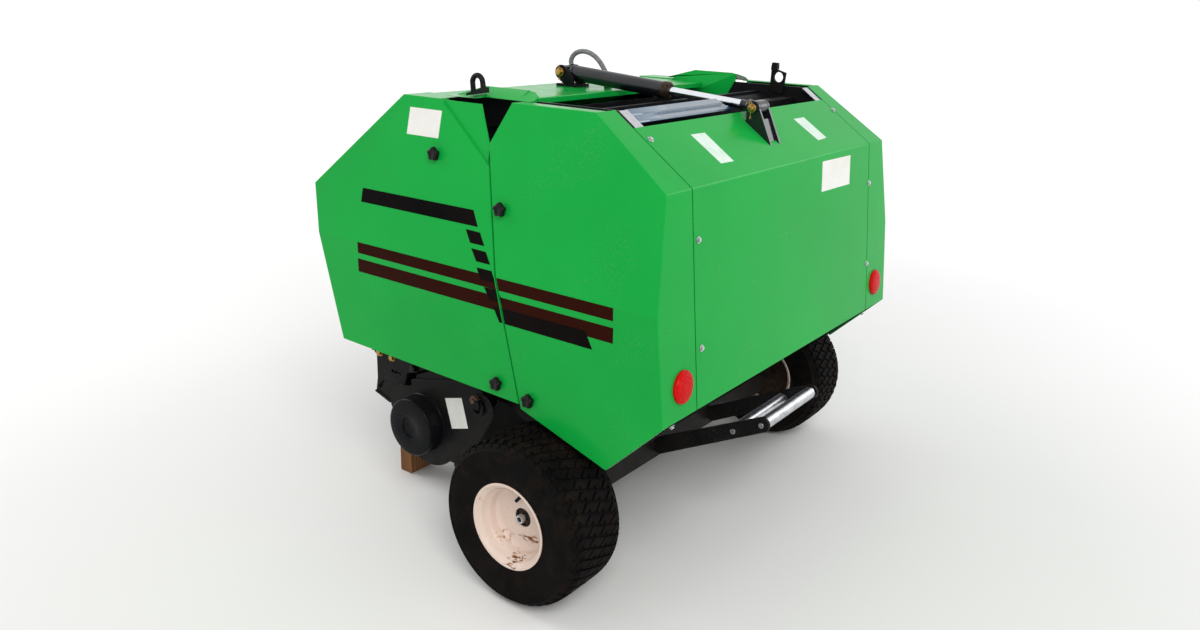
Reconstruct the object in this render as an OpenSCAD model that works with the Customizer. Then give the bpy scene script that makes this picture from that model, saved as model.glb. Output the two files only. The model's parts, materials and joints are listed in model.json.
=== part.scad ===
// Small round baler with a fixed chamber of steel rollers, carried on a three-point headstock.
// Millimetres. +Z is up, the front faces -Y and +X is the machine's left hand.
// Inside the modules y = 0 is the wheel axle; place() moves everything to the middle of its length.

/* [Covers] */
// Half width of the body over the crease of the side covers
crease_half_w = 684; // [660:1:720]
// Height of the crease above the ground
crease_z = 850; // [800:5:900]
// Inward lean of the cover above the crease, per unit of height
upper_lean = 0.182; // [0.1:0.01:0.25]
// Inward lean of the cover below the crease, per unit of height
lower_lean = 0.021; // [0:0.005:0.06]
// Height of the front cover's top edge
front_top_z = 1273; // [1240:1:1290]
// Height of the rear cover's top edge
rear_top_z = 1283; // [1275:1:1310]
// Lean of the seam between front and rear cover, per unit of height
seam_lean = 0.235; // [0.15:0.005:0.3]
// Place of the seam along the machine at the height of the crease
seam_y = -133; // [-160:1:-110]
// Gap between the two covers along the seam
seam_gap = 6; // [6:0.5:12]
// Thickness of the sheet of the covers and panels
sheet = 2.5; // [2:0.5:4]
// Depth of the turned-in edge of a cover
flange_w = 30; // [20:1:40]
// Half width of the rear panel, where the covers' wrapped strips begin
panel_half_w = 524; // [515:1:540]
// Height of the rear panel's top edge on the slope
panel_top_z = 1245; // [1225:1:1262]

/* [Chamber] */
// Clear width between the chamber's side plates
chamber_w = 1010; // [990:1:1016]
// Thickness of the side plates
plate_t = 8; // [5:0.5:10]
// Height of the chamber's centre
chamber_z = 860; // [850:1:870]
// Place of the chamber's centre along the machine
chamber_y = -138; // [-145:1:-130]
// Radius of the circle through the rollers' axes
roller_ring_r = 350; // [340:1:355]
// Diameter of a roller's drum
roller_d = 108; // [90:1:112]
// Diameter of a roller's shaft
roller_shaft_d = 40; // [30:1:45]
// Height of the bars along a roller
roller_rib_h = 8; // [5:0.5:10]
// Gap between a roller's drum and a side plate
roller_end_gap = 5.5; // [5:0.5:10]
// Angle between neighbouring rollers
roller_step = 27; // [26:0.5:28]

/* [Wheels] */
// Outer diameter of the tyre
tyre_d = 457; // [430:1:480]
// Width of the tyre
tyre_w = 210; // [190:1:212]
// Distance from the middle of the machine to the middle of a tyre
wheel_x = 685; // [683:1:700]
// Diameter of the rim's flange
rim_d = 238; // [225:1:250]
// Diameter of the spindle
spindle_d = 30; // [25:1:34]

/* [Pickup] */
// Height of the tine reel's axis
reel_z = 281; // [270:1:300]
// Place of the reel's axis along the machine
reel_y = -547; // [-560:1:-535]
// Radius of the circle of the tine tips
tine_tip_r = 155; // [145:1:158]
// Radius of the stripper bands
band_r = 118; // [108:1:122]
// Diameter of a tine's wire
tine_d = 6; // [5:0.5:7]
// Distance between the tines along the reel
tine_pitch = 70; // [65:1:80]
// Half width of the pickup over its end plates
pickup_half_w = 562; // [555:1:566]
// Depth of the round cap on the pickup's end plate
cap_depth = 58; // [50:1:60]

/* [Headstock] */
// Height of the lower link pins
link_z = 470; // [450:1:490]
// Place of the link pins along the machine
link_y = -1100; // [-1140:1:-1080]
// Distance between the shoulders of the lower link pins
link_span = 683; // [650:1:700]
// Diameter of a lower link pin
link_pin_d = 22; // [19:1:28]
// Height of the top link's hole above the lower pins
mast_h = 460; // [440:1:480]
// Diameter of the top link's hole
top_hole_d = 19.3; // [19:0.1:26]

/* [Cylinder] */
// Outer diameter of the barrel
barrel_d = 48; // [42:1:52]
// Diameter of the rod
rod_d = 25; // [20:1:30]

/* [Hidden] */
$fn = 48;
tiny = 0.01;
hug = 0.02;
running = 0.5;
seated = 0.3;
moving = 5;

top_plate_z = front_top_z - 2 * sheet;
top_plate_rear = -265;
plate_in = chamber_w / 2;
plate_out = plate_in + plate_t;
axle_z = tyre_d / 2;

// Outline of the front cover from the side, as y and z
function seam_at(z) = seam_y + seam_lean * (crease_z - z);
pivot_z = 1175;
pivot_y = seam_at(pivot_z);
notch_z = 1119;
front_outline = [
    [-400, front_top_z], [-542, front_top_z], [-886, 990], [-847, crease_z], [-765, 531],
    [seam_at(519) - seam_gap / 2, 519], [seam_at(notch_z) - seam_gap / 2, notch_z]
];
// Outline of the rear cover from the side, as y and z
rear_outline = [
    [-146, rear_top_z], [seam_at(pivot_z) + seam_gap / 2, pivot_z], [seam_at(506) + seam_gap / 2, 506],
    [227, 422], [390, 582], [366, crease_z], [342, 1123], [116, rear_top_z]
];

ramp_out = [387, 410];
ramp_in = [300, 366];
ramp_roller_d = 36;
link_boss_r = 34;
ramp_boss_r = 22;
y_shift = -(link_y - link_boss_r + ramp_out[0] + ramp_boss_r) / 2;

// Points of a closed outline moved inwards by t; the outline runs anticlockwise
function unit(v) = v / norm(v);
function inward(a, b) = let(d = unit(b - a)) [-d[1], d[0]];
function inset(p, t) = [for (i = [0:len(p) - 1])
    let(n = len(p), a = inward(p[(i + n - 1) % n], p[i]), b = inward(p[i], p[(i + 1) % n]))
    p[i] + (a + b) * t / (1 + a * b)];
// A folded strip of thickness t along the edges from point i to point j of an outline
function strip(p, i, j, t) = let(q = inset(p, t))
    concat([for (k = [i:j]) p[k % len(p)]], [for (k = [j:-1:i]) q[k % len(p)]]);

// A folded plate of thickness t along an open path, its thickness on the left of the path
function folded(p, t) = let(
    n = len(p),
    q = [for (i = [0:n - 1]) let(
        a = inward(p[max(i - 1, 0)], p[max(i, 1)]), b = inward(p[min(i, n - 2)], p[min(i + 1, n - 1)]))
        p[i] + (a + b) * t / (1 + a * b)])
    concat(p, [for (i = [n - 1:-1:0]) q[i]]);

module place() translate([0, y_shift, 0]) children();

// A side outline given as y and z, made solid from x = a to x = b
module across(a, b) translate([a, 0, 0]) rotate([90, 0, 90]) linear_extrude(b - a) children();

// An end outline given as x and z, made solid from y = a to y = b
module along(a, b) translate([0, b, 0]) rotate([90, 0, 0]) linear_extrude(b - a) children();

// Half width of the cover's outer face at a height
function cover_x(z) = z > crease_z ? crease_half_w - upper_lean * (z - crease_z)
    : crease_half_w - lower_lean * (crease_z - z);

// Cross-section of the left cover between two depths under its outer face
module cover_band(from, to) polygon([
    [cover_x(1400) - from, 1400], [crease_half_w - from, crease_z], [cover_x(300) - from, 300],
    [cover_x(300) - to, 300], [crease_half_w - to, crease_z], [cover_x(1400) - to, 1400]
]);

module cover_slice(from, to, p) intersection() {
    along(-1000, 500) cover_band(from, to);
    across(300, 800) polygon(p);
}

// Round bar between two points in space
module rod_between(p, q, r) {
    d = q - p;
    translate(p) rotate([0, acos(d[2] / norm(d)), atan2(d[1], d[0])]) cylinder(r = r, h = norm(d));
}

module mirrored(side) scale([side, 1, 1]) children();

// Round bar across the machine
module cross_bar(p, r, a, b) translate([a, p[0], p[1]]) rotate([0, 90, 0]) cylinder(r = r, h = b - a);

// Flat web with tangent sides between two round ends, in the side view
module web(p, rp, q, rq) {
    d = norm(q - p);
    u = (q - p) / d;
    c = (rp - rq) / d;
    s = sqrt(1 - c * c);
    n1 = [u[0] * c - u[1] * s, u[1] * c + u[0] * s];
    n2 = [u[0] * c + u[1] * s, u[1] * c - u[0] * s];
    translate(p) circle(rp);
    translate(q) circle(rq);
    polygon([p + n1 * (rp - hug), p + n2 * (rp - hug), q + n2 * (rq - hug), q + n1 * (rq - hug)]);
}

// Outline drawn tight around rounds, each given as y, z and radius, in anticlockwise order
module belt(rounds) {
    n = len(rounds);
    for (c = rounds) translate([c[0], c[1]]) circle(c[2]);
    polygon([for (i = [0:n - 1], k = [0, 1]) let(
        a = rounds[i], b = rounds[(i + 1) % n], d = [b[0] - a[0], b[1] - a[1]], u = unit(d),
        c = (a[2] - b[2]) / norm(d), m = [u[0] * c + u[1] * sqrt(1 - c * c), u[1] * c - u[0] * sqrt(1 - c * c)],
        e = k == 0 ? a : b)
        [e[0], e[1]] + m * (e[2] - hug)]);
}

// Rollers: front ones turn in the fixed plates, rear ones in the tailgate's
front_rollers = 6;
rear_rollers = 6;
front_first = 118;
feed_angle = 272;
rear_start = -60;
function roller_angle(i) = i < front_rollers - 1 ? front_first + roller_step * i
    : i == front_rollers - 1 ? feed_angle : rear_start + roller_step * (i - front_rollers);
function roller_at(i) = [chamber_y + roller_ring_r * cos(roller_angle(i)),
    chamber_z + roller_ring_r * sin(roller_angle(i))];

shaft_over = 4;
module roller(i) {
    ribs = 6;
    rib_inset = 4;
    a = plate_in - roller_end_gap;
    color("dimgray") translate([0, roller_at(i)[0], roller_at(i)[1]]) rotate([0, 90, 0]) {
        difference() {
            cylinder(d = roller_d, h = 2 * a, center = true);
            cylinder(d = roller_d - 12, h = 2 * a - 20, center = true);
        }
        for (s = [-1, 1]) scale([1, 1, s]) translate([0, 0, a - tiny])
            cylinder(d = roller_shaft_d, h = plate_out + shaft_over - a);
        for (k = [0:ribs - 1])
            rotate(k * 360 / ribs) translate([roller_d / 2 - 3, -6, rib_inset - a])
                cube([roller_rib_h + 3, 12, 2 * (a - rib_inset)]);
    }
}

module roller_holes(from, to) for (i = [from:to])
    translate(roller_at(i)) circle(d = roller_shaft_d + 2 * running);

// Fixed side plate: chamber wall, leg down to the axle and arm forward to the frame
ear_t = 12;
ear_r = 38;
pivot_pin_d = 32;
beam_half = 35;
leg_half = 75;
front_beam_y = -775;
front_beam_z = 340;
front_beam_half = 40;
pickup_pivot = [-314, 407];
pickup_pivot_d = 30;

module fixed_plate_outline() difference() {
    polygon([
        [-535, top_plate_z - seated], [-345, top_plate_z - seated], [-250, 1195], [seam_at(notch_z) - 14, notch_z - 8],
        [seam_at(500) - seam_gap / 2, 500], [leg_half - 10, 330], [leg_half, axle_z + beam_half + seated],
        [-leg_half, axle_z + beam_half + seated], [-leg_half - 60, 360], [-250, 408], [-440, 430],
        [-590, 425], [-672, 392], [-705, 300], [-753, 271], [-824, 292], [-815, 340], [-815, 520], [-768, 560], [-830, crease_z], [-866, 985]
    ]);
    translate([pivot_y, pivot_z]) circle(ear_r + moving);
    slot([-741, 382], [-708, 378], 5.5);
    slot([-806, 311], [-786, 333], 5.5);
}

// Slot with round ends, in the side view
module slot(p, q, r) web(p, r, q, r);

module side_plate(side) color([0.1, 0.1, 0.11]) mirrored(side) {
    across(plate_in, plate_out) difference() {
        union() {
            fixed_plate_outline();
            web(pickup_pivot, 26, [-330, 500], 60);
        }
        roller_holes(0, front_rollers - 1);
        translate(pickup_pivot) circle(d = pickup_pivot_d + 2 * running);
    }
    across(plate_out - tiny, plate_out + 20) polygon([[-824, 292], [-753, 271], [-751, 276], [-822, 297]]);
    across(plate_out, plate_out + ear_t) difference() {
        web([pivot_y, pivot_z], ear_r, [-330, 1010], 60);
        translate([pivot_y, pivot_z]) circle(d = pivot_pin_d + 2 * running);
        roller_holes(0, 1);
    }
}
module side_plate_left() side_plate(1);
module side_plate_right() side_plate(-1);

// Axle: square tube with a spindle at each end
beam_end = 560;
spindle_end = wheel_x + 52;
hub_end = 20;
module axle_beam() color([0.1, 0.1, 0.11]) translate([0, 0, axle_z]) {
    difference() {
        cube([2 * beam_end, 2 * beam_half, 2 * beam_half], center = true);
        cube([2 * beam_end - 24, 2 * beam_half - 12, 2 * beam_half - 12], center = true);
    }
    for (s = [-1, 1]) mirrored(s) {
        translate([beam_end - tiny, 0, 0]) rotate([0, 90, 0]) cylinder(d = spindle_d, h = wheel_x + 27 - beam_end);
        translate([wheel_x + hub_end + running, 0, 0]) rotate([0, 90, 0]) cylinder(d = spindle_d + 14, h = 6);
        translate([wheel_x, 0, 0]) rotate([0, 90, 0]) difference() {
            cylinder(d = 24, h = spindle_end - wheel_x);
            translate([0, 0, spindle_end - wheel_x - 14]) cylinder(d = 12, h = 20);
        }
    }
}

// Front frame: lower cross tube between the side plates, two posts and the gearbox bearer
rail_half = 25;
link_plate_t = 16;
rail_x = link_span / 2 - link_plate_t - rail_half;
post_x_front = rail_x;
bearer_z = 500;
bearer_t = 12;
module front_frame() color([0.1, 0.1, 0.11]) {
    translate([0, front_beam_y, front_beam_z]) difference() {
        cube([2 * plate_in - 2 * seated, 2 * front_beam_half, 2 * front_beam_half], center = true);
        cube([2 * plate_in - 30, 2 * front_beam_half - 12, 2 * front_beam_half - 12], center = true);
    }
    post_foot = front_beam_z + front_beam_half + seated;
    for (s = [-1, 1]) translate([s * post_x_front - rail_half, front_beam_y - rail_half, post_foot])
        cube([2 * rail_half, 2 * rail_half, bearer_z - seated - post_foot]);
    translate([-rail_x - rail_half, front_beam_y - 40, bearer_z]) cube([2 * (rail_x + rail_half), 90, bearer_t]);
}

// Headstock: two side rails with the lower link pins, and the mast with the top link's ears and stays
mast_y = link_y + 60;
mast_foot_z = front_beam_z + 30 + seated;
module headstock() color([0.1, 0.1, 0.11]) {
    for (s = [-1, 1]) mirrored(s) {
        translate([rail_x - rail_half, link_y + 30, front_beam_z - 20])
            cube([2 * rail_half, front_beam_y - front_beam_half - seated - link_y - 30, 2 * rail_half]);
        across(rail_x + rail_half - tiny, link_span / 2)
            web([link_y, link_z], link_boss_r, [link_y + 90, front_beam_z + 10], link_boss_r);
        cross_bar([link_y, link_z], link_pin_d / 2, link_span / 2 - tiny, link_span / 2 + 48);
    }
    translate([seated - rail_x + rail_half, mast_y - rail_half, front_beam_z - 20])
        cube([2 * (rail_x - rail_half - seated), 2 * rail_half, 2 * rail_half]);
}

module mast() color([0.1, 0.1, 0.11]) {
    for (s = [-1, 1]) mirrored(s) {
        across(22, 34) difference() {
            web([link_y, link_z + mast_h], 30, [mast_y, mast_foot_z], 34);
            translate([link_y, link_z + mast_h]) circle(d = top_hole_d);
            translate([mast_y - 50, mast_foot_z - 50]) square([100, 50]);
        }
        rod_between([32, link_y + 22, link_z + mast_h - 40],
            [rail_x, front_beam_y - rail_half - seated - 14, bearer_z - 45], 14);
    }
}

// Gearbox on its bearer with the input shaft's bearing and the side output's tube
gear_y = front_beam_y + 5;
gear_z = bearer_z + 12 + seated + 85;
shaft_d = 34.9;
journal_d = 45;
module gearbox() color([0.16, 0.16, 0.17]) {
    difference() {
        union() {
            translate([-75, gear_y - 70, gear_z - 85]) cube([150, 140, 170]);
            translate([0, gear_y - 70, gear_z]) rotate([90, 0, 0]) cylinder(d = 96, h = 30);
            cross_bar([gear_y, gear_z], 32, 75 - tiny, plate_in - seated);
        }
        translate([0, gear_y - 60, gear_z]) rotate([90, 0, 0]) cylinder(d = journal_d + 2 * running, h = 60);
    }
}

stub_len = 85;
module pto_shaft() color("silver") translate([0, gear_y - 65, gear_z]) rotate([90, 0, 0]) {
    cylinder(d = journal_d, h = 35);
    cylinder(d = shaft_d, h = 35 + stub_len);
}

// Fixed side cover: a pan of bent sheet with turned-in edges and a tab plate behind its cut corner
tab_depth = sheet + moving + 0.5;
module front_cover(side) color([0.05, 0.5, 0.15]) mirrored(side) {
    difference() {
        cover_slice(0, flange_w, front_outline);
        cover_slice(sheet, flange_w + 1, inset(front_outline, sheet));
    }
    intersection() {
        across(plate_out + seated, 700) polygon([
            [-542, front_top_z], [-542 + 4, front_top_z - sheet], [-402, front_top_z - sheet], [-400, front_top_z]
        ]);
        along(-1000, 500) cover_band(0.5, 400);
    }
    cover_slice(tab_depth, tab_depth + sheet, [
        [-430, front_top_z - sheet - 0.5], [-256, front_top_z - sheet - 0.5], [seam_at(notch_z) - 14, notch_z + 50],
        [seam_at(notch_z) - 14, notch_z - 30]
    ]);
    cover_slice(sheet - tiny, tab_depth + tiny, [
        [-430, front_top_z - 3], [-408, front_top_z - 3], [seam_at(notch_z) - 16, notch_z - 10],
        [seam_at(notch_z) - 16, notch_z - 30]
    ]);
}
module front_cover_left() front_cover(1);
module front_cover_right() front_cover(-1);

// Front closing panel, ending above the gearbox, and the top plate between the side plates
panel_foot_z = 706;
panel_foot_y = -830 + 50 * (crease_z - panel_foot_z) / 210;
module front_panel() color([0.05, 0.5, 0.15])
    across(-plate_in + seated, plate_in - seated) polygon([
        [-540, front_top_z - 22], [-866, 988], [-830, crease_z], [panel_foot_y, panel_foot_z],
        [panel_foot_y + sheet, panel_foot_z], [-830 + sheet, crease_z], [-866 + sheet + 1, 988], [-540 + sheet, front_top_z - 24]
    ]);

plate_lip = 24;
swing_side = plate_in - moving - 1;
module front_top_plate() color([0.05, 0.5, 0.15]) {
    translate([0, 0, top_plate_z]) linear_extrude(sheet) polygon([
        [-plate_out, -540], [plate_out, -540], [plate_out, top_plate_rear - 18], [swing_side, top_plate_rear - 12],
        [swing_side, top_plate_rear], [-swing_side, top_plate_rear], [-swing_side, top_plate_rear - 12],
        [-plate_out, top_plate_rear - 18]
    ]);
    translate([-swing_side, top_plate_rear - sheet, top_plate_z - plate_lip]) cube([2 * swing_side, sheet, plate_lip + tiny]);
}

// Green guards over the hinge: a wall beside each fixed plate and a flange that bridges the notch
guard_in = plate_out + shaft_over + moving + 0.3;
guard_rear_x = cover_x(rear_top_z) - flange_w - 10 - moving - 0.3;
guard_rise = [32, 180];
guard_path = [[-430, front_top_z + seated], [-250, front_top_z + seated + guard_rise[0]],
    [-170, front_top_z + seated + guard_rise[0]], [-118, front_top_z + seated + guard_rise[0] - 6.5]];
module hinge_guards() color([0.05, 0.5, 0.15]) for (s = [-1, 1]) mirrored(s) {
    across(guard_in, guard_in + sheet) polygon([
        [-385, 1192], [-345, 1192], [-150, 1232], [-150, 1304], [-170, 1306], [-250, 1306], [-385, 1282]
    ]);
    intersection() {
        across(guard_in, cover_x(front_top_z) - 8) polygon(concat(guard_path,
            [for (i = [3:-1:0]) guard_path[i] + [0, sheet]]));
        translate([0, 0, 1200]) linear_extrude(200) polygon([
            [guard_in - 1, -420], [cover_x(front_top_z), -380], [cover_x(front_top_z), -279],
            [guard_rear_x, -279], [guard_rear_x, -125], [guard_in + 20, -105], [guard_in - 1, -145]
        ]);
    }
    across(plate_out + seated, guard_in + tiny) polygon([[-384, 1193], [-350, 1193], [-350, 1218], [-384, 1218]]);
}

// Post that carries the cylinder's fixed end
cyl_base = [-461, 1314];
cyl_eye = [219, 1261];
cyl_pin_d = 20;
module cylinder_post() color([0.1, 0.1, 0.11]) {
    for (s = [-1, 1]) mirrored(s) across(29, 39) difference() {
        web(cyl_base, 22, [-430, top_plate_z + sheet + seated + 20], 20);
    }
    translate([-39, -490, top_plate_z + sheet + seated]) cube([78, 110, 8]);
    cross_bar(cyl_base, cyl_pin_d / 2, -50, 43);
    translate([swivel_x, cyl_base[0], cyl_base[1]]) cube([24, 24, 24], center = true);
    translate([swivel_x, -345, top_plate_z + sheet + seated]) cylinder(d = 26, h = 9, $fn = 6);
}

bow_r = 18;
bow_bar = 7;
bow_slope = atan(guard_rise[0] / guard_rise[1]);
bow_y = -292;
bow_at = [cover_x(front_top_z) - 34, bow_y, front_top_z + seated + (bow_y + 430) * tan(bow_slope) + sheet + 0.4];
module lifting_eye() color([0.1, 0.1, 0.11]) translate(bow_at) rotate([bow_slope, 0, 0]) {
    translate([0, 0, 20]) rotate([90, 0, 90]) rotate_extrude(angle = 180) translate([bow_r, 0]) circle(bow_bar);
    for (s = [-1, 1]) translate([0, s * bow_r, 0]) cylinder(r = bow_bar, h = 20 + tiny);
    translate([-14, -bow_r - 14, 0]) cube([28, 2 * bow_r + 21, 5]);
}

// Sweep of an eight-sided tube along a route
function ring(p, d, r) = let(u = unit(cross(d, [0.1, 0.9, 0.3])), v = unit(cross(u, d)))
    [for (k = [0:7]) p + r * (cos(k * 45) * u + sin(k * 45) * v)];
module tube(route, r) {
    n = len(route);
    pts = [for (i = [0:n - 1]) each ring(route[i], route[min(i + 1, n - 1)] - route[max(i - 1, 0)], r)];
    sides = [for (i = [0:n - 2], k = [0:7]) [8 * i + k, 8 * i + (k + 1) % 8, 8 * (i + 1) + (k + 1) % 8, 8 * (i + 1) + k]];
    polyhedron(pts, concat([[for (k = [7:-1:0]) k]], sides, [[for (k = [0:7]) 8 * (n - 1) + k]]));
}
swivel_x = -60;
hose_route = [
    [swivel_x, -476.2, 1317], [swivel_x, -486, 1321], [swivel_x, -495, 1332], [swivel_x, -496, 1347], [swivel_x, -486, 1363],
    [swivel_x, -468, 1373], [swivel_x, -442, 1377], [swivel_x, -414, 1371], [swivel_x, -388, 1356], [swivel_x, -366, 1333],
    [swivel_x, -350, 1307], [swivel_x, -345, 1292], [swivel_x, -344.8, top_plate_z + sheet + 10]
];
module hydraulic_hose() color([0.2, 0.2, 0.2]) tube(hose_route, 8);

// Timber posts under the front beam
post_w = 90;
post_t = 52;
post_x = 414;
module timber_posts() color("peru") for (s = [-1, 1])
    translate([s * post_x - post_w / 2, front_beam_y + 46 - post_t, 0])
        cube([post_w, post_t, front_beam_z - front_beam_half - seated]);

// Tailgate
plate_outline = inset(rear_outline, sheet + seated);
rim_half_w = 560;
module tail_plate_outline() polygon(plate_outline);
pivot_pin_end = plate_out + ear_t + 12;
module tail_plate(side) color([0.1, 0.1, 0.11]) mirrored(side) {
    across(plate_in, plate_out) difference() {
        union() {
            tail_plate_outline();
            translate([pivot_y, pivot_z]) circle(ear_r);
        }
        roller_holes(front_rollers, front_rollers + rear_rollers - 1);
    }
    across(plate_out - tiny, rim_half_w) polygon(strip(plate_outline, 4, 7, 3));
    cross_bar([pivot_y, pivot_z], pivot_pin_d / 2, plate_in, pivot_pin_end);
}
module tail_plate_left() tail_plate(1);
module tail_plate_right() {
    tail_plate(-1);
    lifting_lug();
}

// Lifting lug on the inner face of the right plate, with its top bent outwards
lug_hole = [23, 1307];
module lifting_lug() color([0.1, 0.1, 0.11]) {
    across(-plate_in - tiny, -plate_in + 8) difference() {
        polygon([[-6, 1263], [40, 1254], [48, 1322], [7, 1334], [-4, 1337]]);
        translate(lug_hole) circle(16.5);
    }
    across(-plate_in - 16, -plate_in + tiny) polygon([[-11, 1329], [4, 1327], [12, 1332], [11, 1351], [-8, 1352]]);
}

module rear_cover(side) color([0.05, 0.5, 0.15]) mirrored(side) {
    cover_slice(0, sheet, rear_outline);
    cover_slice(0, flange_w, strip(rear_outline, 2, 3, sheet));
    cover_slice(0, flange_w, strip(rear_outline, 3, 4, sheet));
    cover_slice(0, flange_w + 10, strip(rear_outline, 7, 8, sheet));
    intersection() {
        across(panel_half_w + 4, 800) polygon(strip(rear_outline, 4, 7, sheet));
        along(-1000, 500) cover_band(0, 400);
    }
}
module rear_cover_left() rear_cover(1);
module rear_cover_right() rear_cover(-1);

slope = (rear_top_z - 1123) / (116 - 342);
function slope_z(y) = 1123 + slope * (y - 342);
function slope_y(z) = 342 + (z - 1123) / slope;
panel_profile = [[370, 562], [390, 582], [366, crease_z], [342, 1123], [slope_y(panel_top_z), panel_top_z], [-100, panel_top_z - 200]];
ear_in = 22;
ear_out = 30;
slot_front = 196;
slot_rear = 282;
module rear_panel() color([0.05, 0.5, 0.15]) difference() {
    across(-panel_half_w, panel_half_w) polygon(strip(panel_profile, 1, 4, sheet));
    for (s = [-1, 1]) translate([s * (ear_in + ear_out) / 2 - 6, slot_front, 1100]) cube([12, slot_rear - slot_front, 140]);
}

lug_beam = [300, 1075];
eye_r = 20;
// Square tubes that join the tailgate's plates behind the panel
module tail_beams() color([0.1, 0.1, 0.11]) {
    for (p = [[322, 640], lug_beam, [60, 1226]])
        translate([-plate_in + seated, p[0] - 20, p[1] - 20]) cube([chamber_w - 2 * seated, 40, 40]);
}

module cylinder_lug() color([0.1, 0.1, 0.11]) {
    for (s = [-1, 1]) mirrored(s) across(ear_in, ear_out) difference() {
        union() {
            translate(cyl_eye) circle(eye_r);
            polygon([
                [cyl_eye[0] - eye_r + hug, cyl_eye[1]], [201, 1200], [240, 1050], [300, 1050], [314, 1092], [266, 1172],
                [cyl_eye[0] + eye_r - hug, cyl_eye[1] - 1]
            ]);
        }
        translate(lug_beam - [20 + seated, 60]) square([80, 80 + seated]);
    }
    for (s = [-1, 1]) mirrored(s) cross_bar(cyl_eye, cyl_pin_d / 2 + 4, ear_out - tiny, ear_out + 6);
}

// Folded guard over the chamber between the left cover and the cylinder, with two shallow steps
guard_step = 2;
guard_low = 4.5;
slope_dir = unit([342 - 116, 1123 - rear_top_z]);
slope_out = [-slope_dir[1], slope_dir[0]];
function on_slope(run, depth) = [116, rear_top_z] + slope_dir * run - slope_out * depth;
module top_guard() color([0.12, 0.12, 0.14]) across(36, plate_in - seated) polygon(folded([
    [80 + seated + sheet, 1240], [80 + seated + sheet, rear_top_z - guard_low - 12], on_slope(2, guard_low), on_slope(18, guard_low),
    on_slope(21, guard_low + guard_step), on_slope(30, guard_low + guard_step), on_slope(33, guard_low),
    on_slope(44, guard_low), on_slope(47, guard_low + guard_step), on_slope(60, guard_low + guard_step)
], sheet));

reflector_z = 661;
face_lean = atan((390 - 366) / (crease_z - 582));
module rear_reflectors() color("red") for (s = [-1, 1])
    translate([s * 590, 390 - (reflector_z - 582) * tan(face_lean), reflector_z]) rotate([face_lean - 90, 0, 0])
        translate([0, 0, seated]) rotate_extrude() polygon([[0, 0], [41, 0], [41, 6], [34, 9], [0, 12]]);

// Five-lobed knobs that hold a cover, each with its spacer on the side plate; places as y and z
knob_d = 38;
knob_h = 16;
spacer_d = 22;
module star() {
    circle(d = 0.72 * knob_d);
    for (k = [0:4]) rotate(72 * k + 18) translate([0.34 * knob_d, 0]) circle(d = 0.32 * knob_d);
}
module knobs(at, carrier) color([0.06, 0.06, 0.06]) for (s = [-1, 1], p = at) mirrored(s) {
    behind = min(cover_x(p[1] - spacer_d / 2), cover_x(p[1] + spacer_d / 2)) - sheet - 0.4;
    before = max(cover_x(p[1] - knob_d / 2), cover_x(p[1] + knob_d / 2)) + 0.4;
    across(carrier, behind) translate(p) circle(d = spacer_d);
    across(before, before + knob_h) translate(p) star();
}
module front_knobs() knobs([[-391, 1131], [-130, 559]], plate_out + seated);
module rear_knobs() knobs([[-135, 1022], [-19, 541]], plate_out + seated);

// Cylinder
cyl_dir = unit(cyl_eye - cyl_base);
cyl_len = norm(cyl_eye - cyl_base);
cyl_tilt = atan2(cyl_dir[1], cyl_dir[0]);
barrel_len = 378;
rod_len = 420;
module on_cylinder() translate([0, cyl_base[0], cyl_base[1]]) rotate([cyl_tilt, 0, 0]) rotate([-90, 0, 0]) children();
module cylinder_barrel() color([0.08, 0.08, 0.09]) on_cylinder() difference() {
    union() {
        translate([0, 0, 24]) cylinder(d = barrel_d, h = barrel_len - 24);
        rotate([0, 90, 0]) cylinder(d = 40, h = 50, center = true);
        translate([-18, -18, 0]) cube([36, 36, 26]);
    }
    rotate([0, 90, 0]) cylinder(d = cyl_pin_d + 2 * running, h = 60, center = true);
    translate([0, 0, 40]) cylinder(d = rod_d + 2 * running, h = barrel_len);
}
module cylinder_rod() color("silver") on_cylinder() {
    translate([0, 0, cyl_len - rod_len]) cylinder(d = rod_d, h = rod_len - 20);
    translate([0, 0, cyl_len]) rotate([0, 90, 0]) cylinder(r = eye_r, h = 40, center = true);
}

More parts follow.
